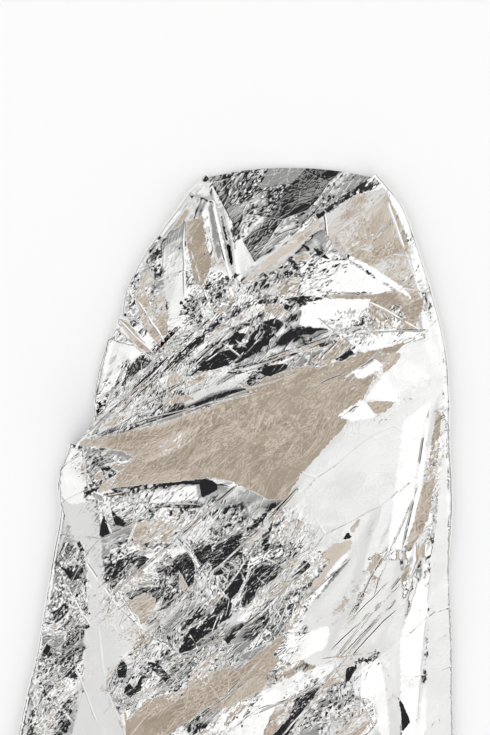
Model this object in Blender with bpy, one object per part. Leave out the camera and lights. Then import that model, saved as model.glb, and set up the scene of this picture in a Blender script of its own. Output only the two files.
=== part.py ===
"""Foil emergency blanket, folded across itself like a wrap and laid on its back.

One heat-cut sheet of metallised film, with no hem, seam or trim. Its long side runs round the wrap:
inner flap, left inner fold, back, right fold, outer flap, left outer fold, and a tuck under the back.
Metres, +Z up, +Y toward the collar. The origin is on the floor under the middle of the laid blanket.
"""
import bmesh
import bpy
import numpy as np

FILM = 0.0012          # thickness the film is given, metres
GAP = 0.005            # height between one lying layer and the next
DROP = 1.30            # short side of the cut, measured from the collar down
CHEST = (0.043, 0.5285)  # plan position of the chest point that every table is measured from

# Mesh columns in each run of the sheet, and mesh rows from collar to hem.
INNER_COLUMNS = 7
BACK_COLUMNS = 6
OUTER_COLUMNS = 28
TUCK_COLUMNS = 4
ARC_COLUMNS = 4
UPPER_ROWS = 34
LOWER_ROWS = 12
UPPER_SHARE = 0.66     # part of the drop the upper rows cover

FOLD_BULGE = 0.003     # least plan bulge of a folded-over edge
FOLD_SWELL = 0.32      # extra bulge for each metre of height the edge climbs
FOLD_FULLNESS = 0.8    # below 1 squares the folded-over edge off, above 1 points it
OUTER_RISE = 0.003     # least extra height of the outer flap
INNER_RISE = 0.004     # least extra height of the inner flap where it shows
CREST_ROUND = 0.04     # rounding of a fold's crest, as a share of its width
FOOT_ROUND = 0.06      # rounding of a fold's foot, as a share of its width
TUCK_RAMP = (20, 95)   # the back comes down off the tuck this far beyond it, millimetres
INNER_SHOWS = (-0.20, -0.08)  # the inner flap's folds rise between these values of y + INNER_LEAN * x
INNER_LEAN = 0.55
RIGHT_PRESS = 0.35     # share of the outer flap's relief left at the right fold
LEFT_PRESS = 0.25      # and at the left outer fold
RIGHT_LOOSE = 0.16     # the outer flap is loose from this share of the way across
LEFT_LOOSE = 0.86      # to this share

# The underside lies flat on a four-pointed field, and the film stands a little off the floor outside it.
FLAT_FIELD = (0.26, 0.62)  # half width and half length of the field, metres
FLAT_FIELD_POWER = 0.8     # below 1 the field's sides run hollow between its four points
LIFT = 0.002               # height the film stands off the floor outside the field, metres
LIFT_RUN = 0.2             # it is reached this share of the field's size further out

# Edges of the lying shape. Columns: distance down the cut, x, y (millimetres from the chest point).
RIGHT_FOLD = (
    (0, 161, 241), (45, 190, 205), (90, 205, 170), (160, 226, 103), (210, 240, 56),
    (260, 249, 8), (340, 251, -74), (440, 255, -170), (540, 249, -268), (620, 255, -346),
    (750, 257, -470), (900, 263, -620), (1100, 272, -820), (1300, 276, -1010),
)
LEFT_OUTER_FOLD = (
    (0, -214, -99), (140, -222, -122), (220, -230, -150), (280, -226, -180), (350, -236, -240),
    (430, -247, -305), (500, -256, -362), (570, -268, -410), (650, -281, -470),
    (800, -302, -600), (1000, -328, -800), (1150, -345, -1020), (1300, -360, -1310),
)
LEFT_INNER_FOLD = (
    (0, -47, 241), (50, -74, 203), (110, -110, 158), (150, -133, 121), (180, -146, 95),
    (210, -151, 62), (245, -168, 32), (310, -186, -34), (380, -187, -100), (480, -200, -190),
    (600, -222, -300), (780, -256, -460), (1040, -290, -750), (1300, -318, -1030),
)
INNER_FREE_EDGE = (
    (0, 200, -160), (300, 190, -390), (650, 175, -670), (1000, 165, -950), (1300, 150, -1180),
)
TUCK_FREE_EDGE = (
    (0, 120, -260), (400, 70, -500), (800, 15, -820), (1300, -40, -1220),
)

# Folds of the outer flap. Columns, in millimetres: name, crest start, crest end, widths of the side
# left of travel, widths of the side right of travel, heights, tapers at the two ends, sideways bow.
# Widths and heights are given at the start, middle and end of the crest.
OUTER_FOLDS = (
    ("shoulder fall", (104, 186), (136, 126), (85, 100, 90), (20, 22, 22), (14, 24, 22), (50, 16), 0),
    ("shoulder foot", (227, 104), (118, 131), (34, 40, 28), (26, 30, 26), (14, 13, 10), (12, 12), 0),
    ("wedge", (227, 86), (110, 97), (30, 26, 20), (20, 20, 20), (13, 13, 9), (8, 14), 0),
    ("fan", (230, 55), (6, 22), (20, 20, 22), (20, 20, 22), (8, 9, 11), (8, 30), 0),
    ("long ridge", (227, 45), (-212, -105), (66, 190, 70), (90, 82, 46), (22, 38, 14), (10, 14), -4),
    ("chin fold", (6, 86), (-171, -60), (24, 20, 20), (20, 20, 20), (10, 9, 8), (20, 20), 0),
    ("band fold", (38, 50), (-118, -32), (20, 20, 20), (20, 20, 20), (8, 11, 8), (20, 30), 0),
    ("cuff", (-230, -161), (-24, -148), (20, 20, 20), (34, 42, 50), (8, 12, 14), (10, 30), 3),
    ("cuff drop", (-29, -143), (29, -229), (40, 40, 40), (30, 30, 30), (12, 9, 6), (20, 30), 0),
    ("elbow", (212, -6), (17, -234), (80, 90, 60), (20, 24, 26), (9, 16, 14), (20, 30), -8),
    ("cuff hollow", (-29, -204), (-179, -276), (22, 22, 22), (24, 26, 24), (8, 12, 8), (30, 30), 0),
    ("hip ridge", (136, -184), (-102, -346), (30, 30, 26), (46, 44, 40), (8, 18, 22), (40, 30), 0),
    ("hollow", (70, -244), (-159, -410), (30, 26, 22), (26, 28, 30), (14, 16, 18), (30, 30), 0),
    ("hollow foot", (-57, -356), (-159, -410), (20, 20, 20), (24, 24, 24), (8, 12, 8), (20, 20), 0),
    ("long diagonal", (222, -130), (-76, -479), (90, 90, 90), (40, 50, 60), (12, 18, 20), (40, 40), 10),
    ("lower diagonal", (243, -283), (57, -537), (60, 60, 60), (46, 50, 50), (12, 16, 18), (40, 50), 0),
    ("left panel", (-169, -168), (-189, -498), (90, 90, 90), (60, 60, 60), (6, 8, 8), (30, 60), 0),
    ("left seam fold", (-187, -194), (-144, -473), (20, 20, 20), (20, 20, 20), (5, 9, 9), (30, 60), 0),
    ("right fall", (248, -194), (227, -537), (22, 24, 24), (30, 45, 60), (12, 13, 14), (60, 60), 0),
    ("foot sweep 1", (235, -448), (-235, -816), (80, 75, 70), (50, 50, 50), (24, 26, 26), (60, 90), 20),
    ("foot sweep 2", (248, -613), (-273, -1032), (70, 70, 70), (50, 50, 50), (24, 24, 24), (60, 90), 20),
    ("foot sweep 3", (248, -803), (-159, -1172), (60, 60, 60), (60, 60, 60), (20, 20, 20), (60, 90), 0),
    ("foot fall", (6, -524), (-83, -1121), (50, 50, 50), (60, 60, 60), (16, 17, 18), (90, 90), 0),
)
# Folds of the inner flap, where it shows at the left shoulder. Same columns.
INNER_FOLDS = (
    ("shoulder", (-52, 223), (-113, 22), (60, 60, 60), (40, 36, 30), (16, 22, 16), (20, 20), 0),
    ("arm", (-108, 154), (-161, -41), (30, 28, 24), (20, 24, 20), (9, 12, 8), (20, 30), 0),
)

# Bend of each run's collar edge and hem edge off the straight line, metres: (x, y) at mid-run.
INNER_TOP_BEND = (-0.016, 0.012)
BACK_TOP_BEND = (0.0, 0.012)
BACK_HEM_BEND = (0.0, -0.020)
OUTER_TOP_BEND = (-0.012, 0.018)
OUTER_HEM_BEND = (0.0, -0.030)
TUCK_HEM_BEND = (0.0, -0.010)
NO_BEND = (0.0, 0.0)


def smooth_step(start, end, value):
    """0 before start, 1 after end, with an even run between."""
    share = np.clip((value - start) / (end - start), 0.0, 1.0)
    return share * share * (3.0 - 2.0 * share)


def through_three(values, share):
    """Even run through a start, a middle and an end value."""
    start, middle, end = values
    return (start * (1 - share) * (1 - 2 * share) + middle * 4 * share * (1 - share)
            + end * share * (2 * share - 1))


def edge_curve(table, down):
    """Plan points of a smooth edge through a table's rows, at distances down the cut."""
    rows = np.array(table, dtype=float) / 1000.0
    key, point = rows[:, 0], rows[:, 1:]
    step = np.diff(key)[:, None]
    rate = np.diff(point, axis=0) / step
    slope = np.empty_like(point)
    slope[0], slope[-1] = rate[0], rate[-1]
    slope[1:-1] = (rate[1:] * step[:-1] + rate[:-1] * step[1:]) / (step[:-1] + step[1:])
    index = np.clip(np.searchsorted(key, down, side="right") - 1, 0, len(key) - 2)
    span = step[index]
    s = ((down - key[index]) / span[:, 0])[:, None]
    return ((2 * s**3 - 3 * s**2 + 1) * point[index] + (s**3 - 2 * s**2 + s) * span * slope[index]
            + (3 * s**2 - 2 * s**3) * point[index + 1] + (s**3 - s**2) * span * slope[index + 1])


def fold_height(x, y, row):
    """Height one fold adds at plan points: two flat sides falling from a crest, run out at its ends."""
    _, start, end, left, right, heights, tapers, bow = row
    ax, ay, bx, by = (value / 1000.0 for value in (*start, *end))
    length = np.hypot(bx - ax, by - ay)
    ex, ey = (bx - ax) / length, (by - ay) / length
    along = (x - ax) * ex + (y - ay) * ey
    share = np.clip(along / length, 0.0, 1.0)
    across = (y - ay) * ex - (x - ax) * ey - bow / 1000.0 * 4 * share * (1 - share)
    width = np.where(across > 0, through_three(left, share), through_three(right, share)) / 1000.0
    reach = across / width
    side = np.clip(1 - (np.sqrt(reach**2 + CREST_ROUND**2) - CREST_ROUND), 0.0, 1.0)
    side = np.where(side < FOOT_ROUND, side**2 / (2 * FOOT_ROUND), side - FOOT_ROUND / 2)
    ends = (np.clip(along * 1000.0 / tapers[0] + 0.5, 0.0, 1.0)
            * np.clip((length - along) * 1000.0 / tapers[1] + 0.5, 0.0, 1.0))
    return through_three(heights, share) / 1000.0 * side * ends


def relief(x, y, table):
    """Height a table of folds adds at plan points."""
    return sum(fold_height(x, y, row) for row in table)


def over_tuck(x, y):
    """1 where the back lies on the tuck, 0 where it lies on the floor."""
    (_, collar_x, collar_y), (_, hem_x, hem_y) = TUCK_FREE_EDGE[0], TUCK_FREE_EDGE[-1]
    _, fold_x, fold_y = LEFT_OUTER_FOLD[0]
    x, y = x * 1000.0, y * 1000.0
    past_free = x - collar_x - (hem_x - collar_x) / (hem_y - collar_y) * (y - collar_y)
    past_collar = y - fold_y - (collar_y - fold_y) / (collar_x - fold_x) * (x - fold_x)
    near, far = TUCK_RAMP
    return smooth_step(far, near, past_free) * smooth_step(far, near, past_collar)


def back_height(x, y):
    return FILM / 2 + GAP * over_tuck(x, y)


def inner_height(x, y):
    """The inner flap's folds fade out where the outer flap covers it."""
    shows = smooth_step(*INNER_SHOWS, y + INNER_LEAN * x)
    return back_height(x, y) + GAP + shows * (INNER_RISE + relief(x, y, INNER_FOLDS))


def outer_height(x, y, across):
    """The outer flap's folds press lower toward the two folded edges."""
    right = RIGHT_PRESS + (1 - RIGHT_PRESS) * smooth_step(0.0, RIGHT_LOOSE, across)
    left = 1 - (1 - LEFT_PRESS) * smooth_step(LEFT_LOOSE, 1.0, across)
    loose = np.minimum(right, left)
    return inner_height(x, y) + GAP + loose * (OUTER_RISE + relief(x, y, OUTER_FOLDS))


def spread(edge_from, edge_to, columns, down, top_bend, hem_bend):
    """Plan points of a run between two edges, with the share of the way across."""
    across = np.linspace(0.0, 1.0, columns + 1)[:, None] * np.ones_like(down)[None, :]
    hump = 4 * across * (1 - across)
    share = down / DROP
    plan = []
    for axis in (0, 1):
        bend = (1 - share)**3 * top_bend[axis] + share**3 * hem_bend[axis]
        plan.append(edge_from[:, axis] * (1 - across) + edge_to[:, axis] * across + hump * bend)
    return plan[0], plan[1], across


def fold_over(edge, height_from, height_to, side):
    """Columns of a folded-over edge: out from the edge and round from one height to the other."""
    turn = np.linspace(0.0, 1.0, ARC_COLUMNS + 1)[1:-1, None]
    travel = np.gradient(edge, axis=0)
    out = np.stack((-travel[:, 1], travel[:, 0]), axis=1) * side
    out /= np.linalg.norm(out, axis=1)[:, None]
    swell = FOLD_BULGE + FOLD_SWELL * np.abs(height_to - height_from)
    bulge = swell * np.sin(np.pi * turn)**FOLD_FULLNESS
    height = height_from + (height_to - height_from) * (1 - np.cos(np.pi * turn)) / 2
    return edge[:, 0] + out[:, 0] * bulge, edge[:, 1] + out[:, 1] * bulge, height


def rim_lift(x, y):
    """Height the film stands off the floor at points of the laid blanket."""
    half_width, half_length = FLAT_FIELD
    reach = (np.abs(x / half_width)**FLAT_FIELD_POWER + np.abs(y / half_length)**FLAT_FIELD_POWER)
    return LIFT * np.clip((reach**(1 / FLAT_FIELD_POWER) - 1) / LIFT_RUN, 0.0, 1.0)


def sheet_points():
    """Middle surface of the whole sheet: columns round the wrap, rows from collar to hem."""
    upper = np.linspace(0.0, UPPER_SHARE, UPPER_ROWS, endpoint=False)
    lower = np.linspace(UPPER_SHARE, 1.0, LOWER_ROWS + 1)
    down = DROP * np.concatenate((upper, lower))
    right, left_outer, left_inner, inner_free, tuck_free = (
        edge_curve(table, down)
        for table in (RIGHT_FOLD, LEFT_OUTER_FOLD, LEFT_INNER_FOLD, INNER_FREE_EDGE, TUCK_FREE_EDGE)
    )
    ix, iy, _ = spread(inner_free, left_inner, INNER_COLUMNS, down, INNER_TOP_BEND, NO_BEND)
    bx, by, _ = spread(left_inner, right, BACK_COLUMNS, down, BACK_TOP_BEND, BACK_HEM_BEND)
    ox, oy, across = spread(right, left_outer, OUTER_COLUMNS, down, OUTER_TOP_BEND, OUTER_HEM_BEND)
    tx, ty, _ = spread(left_outer, tuck_free, TUCK_COLUMNS, down, NO_BEND, TUCK_HEM_BEND)
    inner = (ix, iy, inner_height(ix, iy))
    back = (bx, by, back_height(bx, by))
    outer = (ox, oy, outer_height(ox, oy, across))
    tuck = (tx, ty, np.full_like(tx, FILM / 2))
    runs = (
        inner, fold_over(left_inner, inner[2][-1], back[2][0], -1),
        back, fold_over(right, back[2][-1], outer[2][0], 1),
        outer, fold_over(left_outer, outer[2][-1], tuck[2][0], -1),
        tuck,
    )
    points = np.concatenate([np.stack(run, axis=-1) for run in runs])
    points[..., 0] += CHEST[0]
    points[..., 1] += CHEST[1]
    points[..., 2] += rim_lift(points[..., 0], points[..., 1])
    return points


def metallised_film():
    material = bpy.data.materials.new("metallised_film")
    material.use_nodes = True
    shader = material.node_tree.nodes["Principled BSDF"]
    shader.inputs["Base Color"].default_value = (0.86, 0.86, 0.85, 1.0)
    shader.inputs["Metallic"].default_value = 1.0
    shader.inputs["Roughness"].default_value = 0.12
    return material


def foil_blanket():
    """The sheet as one closed body: flat triangles, split along the run of the folds, made film thick."""
    points = sheet_points()
    columns, rows = points.shape[:2]
    body = bmesh.new()
    grid = [[body.verts.new(points[c, r]) for r in range(rows)] for c in range(columns)]
    for c in range(columns - 1):
        for r in range(rows - 1):
            upper, lower = grid[c][r], grid[c + 1][r + 1]
            body.faces.new((upper, grid[c + 1][r], lower))
            body.faces.new((upper, lower, grid[c][r + 1]))
    mesh = bpy.data.meshes.new("foil_blanket")
    body.to_mesh(mesh)
    body.free()
    mesh.materials.append(metallised_film())
    blanket = bpy.data.objects.new("foil_blanket", mesh)
    bpy.context.scene.collection.objects.link(blanket)
    film = blanket.modifiers.new("film", "SOLIDIFY")
    film.thickness = FILM
    film.offset = 0.0
    film.use_rim = True
    return blanket


def main():
    for leftover in list(bpy.data.objects):
        bpy.data.objects.remove(leftover, do_unlink=True)
    foil_blanket()


main()
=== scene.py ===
"""Emergency foil blanket, folded across itself like a wrap and laid on its back under a studio camera.

The plain solid of the frame is replaced by one thin sheet of film. It starts as the flat cut, is taken
round the wrap's runs (inner flap, back, outer flap and tuck), and gets its folds and its crumpling.
Metres, +Z up, +Y toward the collar.
"""
import math

import bpy
import numpy as np
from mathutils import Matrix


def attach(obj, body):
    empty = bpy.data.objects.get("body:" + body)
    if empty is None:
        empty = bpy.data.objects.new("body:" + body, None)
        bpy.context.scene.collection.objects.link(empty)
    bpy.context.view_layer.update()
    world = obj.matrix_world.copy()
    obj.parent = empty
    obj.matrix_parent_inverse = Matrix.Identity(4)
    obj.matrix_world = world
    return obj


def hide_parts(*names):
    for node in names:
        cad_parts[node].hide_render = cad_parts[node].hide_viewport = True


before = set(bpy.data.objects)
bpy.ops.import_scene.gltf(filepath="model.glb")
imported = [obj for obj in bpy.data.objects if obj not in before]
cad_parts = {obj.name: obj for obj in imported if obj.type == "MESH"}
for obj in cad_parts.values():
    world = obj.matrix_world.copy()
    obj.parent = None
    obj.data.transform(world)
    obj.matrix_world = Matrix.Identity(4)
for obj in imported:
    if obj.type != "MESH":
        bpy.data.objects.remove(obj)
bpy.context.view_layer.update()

bl_info = {
    "name": "Foil Emergency Blanket",
    "version": (1, 0, 0),
    "blender": (4, 5, 0),
    "location": "3D View > Sidebar > Foil Blanket",
    "description": "Builds a crumpled foil emergency blanket, its film finish and its studio",
    "category": "Add Mesh",
}

# ---------------------------------------------------------------- sizes of the lying shape

CHEST = (0.043, 0.5285)  # plan position of the chest point that every table is measured from
MM = 0.001
# Every name that ends in NOISE holds a noise's scale, for each metre unless its comment says otherwise,
# and its detail.

# Edges of the lying shape. Columns: distance down the cut, x, y (millimetres from the chest point).
RIGHT_FOLD = (
    (0, 161, 241), (45, 190, 205), (90, 205, 170), (160, 226, 103), (210, 240, 56),
    (260, 249, 8), (340, 251, -74), (440, 255, -170), (540, 249, -268), (620, 255, -346),
    (750, 257, -470), (900, 263, -620), (1100, 272, -820), (1300, 276, -1010),
)
LEFT_OUTER_FOLD = (
    (0, -214, -99), (140, -222, -122), (220, -230, -150), (280, -226, -180), (350, -236, -240),
    (430, -247, -305), (500, -256, -362), (570, -268, -410), (650, -281, -470),
    (800, -302, -600), (1000, -328, -800), (1150, -345, -1020), (1300, -360, -1310),
)
LEFT_INNER_FOLD = (
    (0, -47, 241), (50, -74, 203), (110, -110, 158), (150, -133, 121), (180, -146, 95),
    (210, -151, 62), (245, -168, 32), (310, -186, -34), (380, -187, -100), (480, -200, -190),
    (600, -222, -300), (780, -256, -460), (1040, -290, -750), (1300, -318, -1030),
)
INNER_FREE_EDGE = (
    (0, 200, -160), (300, 190, -390), (650, 175, -670), (1000, 165, -950), (1300, 150, -1180),
)
TUCK_FREE_EDGE = (
    (0, 120, -260), (400, 70, -500), (800, 15, -820), (1300, -40, -1220),
)

# Folds. Columns, in millimetres: name, crest start, crest end, widths of the side left of travel, widths
# of the side right of travel, heights, tapers at the two ends, sideways bow. Widths and heights are given
# at the start, middle and end of the crest.
OUTER_FOLDS = (
    ("shoulder fall", (104, 186), (136, 126), (85, 100, 90), (20, 22, 22), (14, 24, 22), (50, 16), 0),
    ("shoulder foot", (227, 104), (118, 131), (34, 40, 28), (26, 30, 26), (14, 13, 10), (12, 12), 0),
    ("wedge", (227, 86), (110, 97), (30, 26, 20), (20, 20, 20), (13, 13, 9), (8, 14), 0),
    ("fan", (230, 55), (6, 22), (20, 20, 22), (20, 20, 22), (8, 9, 11), (8, 30), 0),
    ("long ridge", (227, 45), (-212, -105), (66, 190, 70), (90, 82, 46), (22, 38, 14), (10, 14), -4),
    ("chin fold", (6, 86), (-171, -60), (24, 20, 20), (20, 20, 20), (10, 9, 8), (20, 20), 0),
    ("band fold", (38, 50), (-118, -32), (20, 20, 20), (20, 20, 20), (8, 11, 8), (20, 30), 0),
    ("cuff", (-230, -161), (-24, -148), (20, 20, 20), (34, 42, 50), (8, 12, 14), (10, 30), 3),
    ("cuff drop", (-29, -143), (29, -229), (40, 40, 40), (30, 30, 30), (12, 9, 6), (20, 30), 0),
    ("elbow", (212, -6), (17, -234), (80, 90, 60), (20, 24, 26), (9, 16, 14), (20, 30), -8),
    ("cuff hollow", (-29, -204), (-179, -276), (22, 22, 22), (24, 26, 24), (8, 12, 8), (30, 30), 0),
    ("hip ridge", (136, -184), (-102, -346), (30, 30, 26), (46, 44, 40), (8, 18, 22), (40, 30), 0),
    ("hollow", (70, -244), (-159, -410), (30, 26, 22), (26, 28, 30), (14, 16, 18), (30, 30), 0),
    ("hollow foot", (-57, -356), (-159, -410), (20, 20, 20), (24, 24, 24), (8, 12, 8), (20, 20), 0),
    ("long diagonal", (222, -130), (-76, -479), (90, 90, 90), (40, 50, 60), (12, 18, 20), (40, 40), 10),
    ("lower diagonal", (243, -283), (57, -537), (60, 60, 60), (46, 50, 50), (12, 16, 18), (40, 50), 0),
    ("left panel", (-169, -168), (-189, -498), (90, 90, 90), (60, 60, 60), (6, 8, 8), (30, 60), 0),
    ("left seam fold", (-187, -194), (-144, -473), (20, 20, 20), (20, 20, 20), (5, 9, 9), (30, 60), 0),
    ("right fall", (248, -194), (227, -537), (22, 24, 24), (30, 45, 60), (12, 13, 14), (60, 60), 0),
    ("foot sweep 1", (235, -448), (-235, -816), (80, 75, 70), (50, 50, 50), (24, 26, 26), (60, 90), 20),
    ("foot sweep 2", (248, -613), (-273, -1032), (70, 70, 70), (50, 50, 50), (24, 24, 24), (60, 90), 20),
    ("foot sweep 3", (248, -803), (-159, -1172), (60, 60, 60), (60, 60, 60), (20, 20, 20), (60, 90), 0),
    ("foot fall", (6, -524), (-83, -1121), (50, 50, 50), (60, 60, 60), (16, 17, 18), (90, 90), 0),
)
# Narrow folds of the outer flap, too fine for the solid. Same columns.
OUTER_CREASES = (
    ("collar roll", (156, 231), (-197, -87), (12, 11, 10), (12, 11, 10), (5, 6, 6), (15, 15), 12),
    ("upper fan", (230, 62), (57, 65), (14, 16, 16), (14, 14, 14), (6, 7, 6), (8, 30), 0),
    ("ridge lip", (108, 2), (-204, -100), (10, 9, 8), (10, 10, 10), (5, 5, 5), (20, 12), 0),
    ("right pleat 1", (248, -41), (192, -283), (14, 14, 12), (10, 12, 14), (7, 9, 9), (30, 50), 6),
    ("right pleat 2", (250, -130), (212, -346), (9, 10, 10), (12, 11, 9), (7, 7, 7), (30, 40), -5),
    ("centre crease 1", (-171, -291), (24, -178), (8, 8, 8), (9, 9, 9), (5, 6, 5), (12, 20), 4),
    ("centre crease 2", (-149, -247), (17, -166), (7, 8, 7), (10, 10, 9), (4, 6, 4), (12, 20), -3),
    ("centre crease 3", (-85, -361), (110, -227), (9, 9, 8), (8, 9, 8), (6, 7, 5), (16, 20), 5),
    ("centre crease 4", (-154, -422), (-17, -346), (8, 8, 8), (8, 8, 8), (4, 6, 4), (16, 20), 0),
    ("centre crease 5", (-121, -244), (-62, -295), (7, 7, 7), (8, 8, 8), (4, 5, 4), (12, 12), 2),
    ("centre crease 6", (-169, -244), (-121, -346), (8, 8, 8), (7, 7, 7), (4, 5, 4), (12, 16), -3),
    ("band crease 1", (-189, -79), (22, 86), (7, 7, 7), (8, 8, 8), (4, 5, 4), (12, 20), 6),
    ("band crease 2", (-171, -84), (108, 35), (7, 7, 7), (7, 7, 7), (3, 4, 4), (12, 20), 4),
    ("right crease 1", (202, -92), (136, -308), (8, 9, 9), (9, 9, 10), (4, 5, 5), (20, 30), -6),
    ("right crease 2", (192, -194), (108, -359), (8, 8, 9), (8, 8, 9), (4, 5, 5), (20, 30), -4),
    ("right crease 3", (227, -16), (199, -239), (8, 8, 8), (8, 9, 9), (5, 6, 5), (20, 30), -6),
)
# Folds of the inner flap, where it shows at the left shoulder. Same columns.
INNER_FOLDS = (
    ("shoulder", (-52, 223), (-113, 22), (60, 60, 60), (40, 36, 30), (16, 22, 16), (20, 20), 0),
    ("arm", (-108, 154), (-161, -41), (30, 28, 24), (20, 24, 20), (9, 12, 8), (20, 30), 0),
)
INNER_CREASES = (
    ("neck edge", (-44, 231), (-11, 86), (10, 10, 10), (20, 24, 26), (6, 7, 7), (20, 20), 0),
    ("ear", (-166, 65), (-108, 20), (8, 9, 10), (10, 12, 12), (9, 8, 5), (4, 20), 0),
)

# Pinched points of the film, from which creases radiate. Columns: name, centre in millimetres, angles of
# the first and last crease in degrees, creases, reach and height in millimetres.
PINCHES = (
    ("panel corner", (-210, -100), (-38, 24), 11, 99, 3.0),
    ("cuff corner", (-189, -161), (-24, 8), 6, 114, 3.0),
    ("centre left", (-174, -295), (-8, 70), 9, 133, 7.0),
    ("centre", (-62, -277), (95, 250), 8, 79, 5.5),
    ("centre top", (27, -176), (175, 240), 7, 140, 6.5),
    ("centre right", (133, -222), (188, 236), 7, 190, 7.0),
    ("lower left", (-161, -410), (5, 62), 8, 140, 5.5),
    ("shoulder edge", (220, 48), (158, 206), 9, 121, 4.0),
    ("panel tip", (199, 20), (176, 224), 7, 89, 3.5),
    ("notch", (-19, 106), (205, 262), 7, 66, 4.5),
    ("neck lens", (-47, 218), (248, 284), 5, 127, 3.5),
    ("ear", (-166, 68), (-62, -18), 5, 79, 3.5),
    ("right edge", (250, -46), (238, 264), 6, 216, 4.0),
    ("hip", (255, -239), (196, 246), 6, 140, 3.5),
    ("left edge", (-230, -244), (-100, -60), 6, 165, 4.5),
    ("lower right", (197, -410), (110, 215), 8, 102, 4.0),
    ("lower middle", (108, -397), (195, 250), 6, 114, 4.5),
    ("collar", (126, 205), (196, 232), 6, 165, 3.0),
    ("foot 1", (-180, -700), (-80, 10), 9, 220, 7.0),
    ("foot 2", (230, -760), (150, 232), 9, 240, 7.0),
    ("foot 3", (-40, -1130), (20, 150), 10, 230, 6.0),
)
PINCH_UNEVEN = 0.35    # unevenness of the creases' spacing
PINCH_WAVES = (9.0, 23.0)  # the spacing's two waves, in radians over the fan of creases
PINCH_SIDE = 0.12      # share of the fan, at each of its sides, where the creases run out
PINCH_PEAK = 0.35      # share of the reach at which the creases are highest

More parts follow.
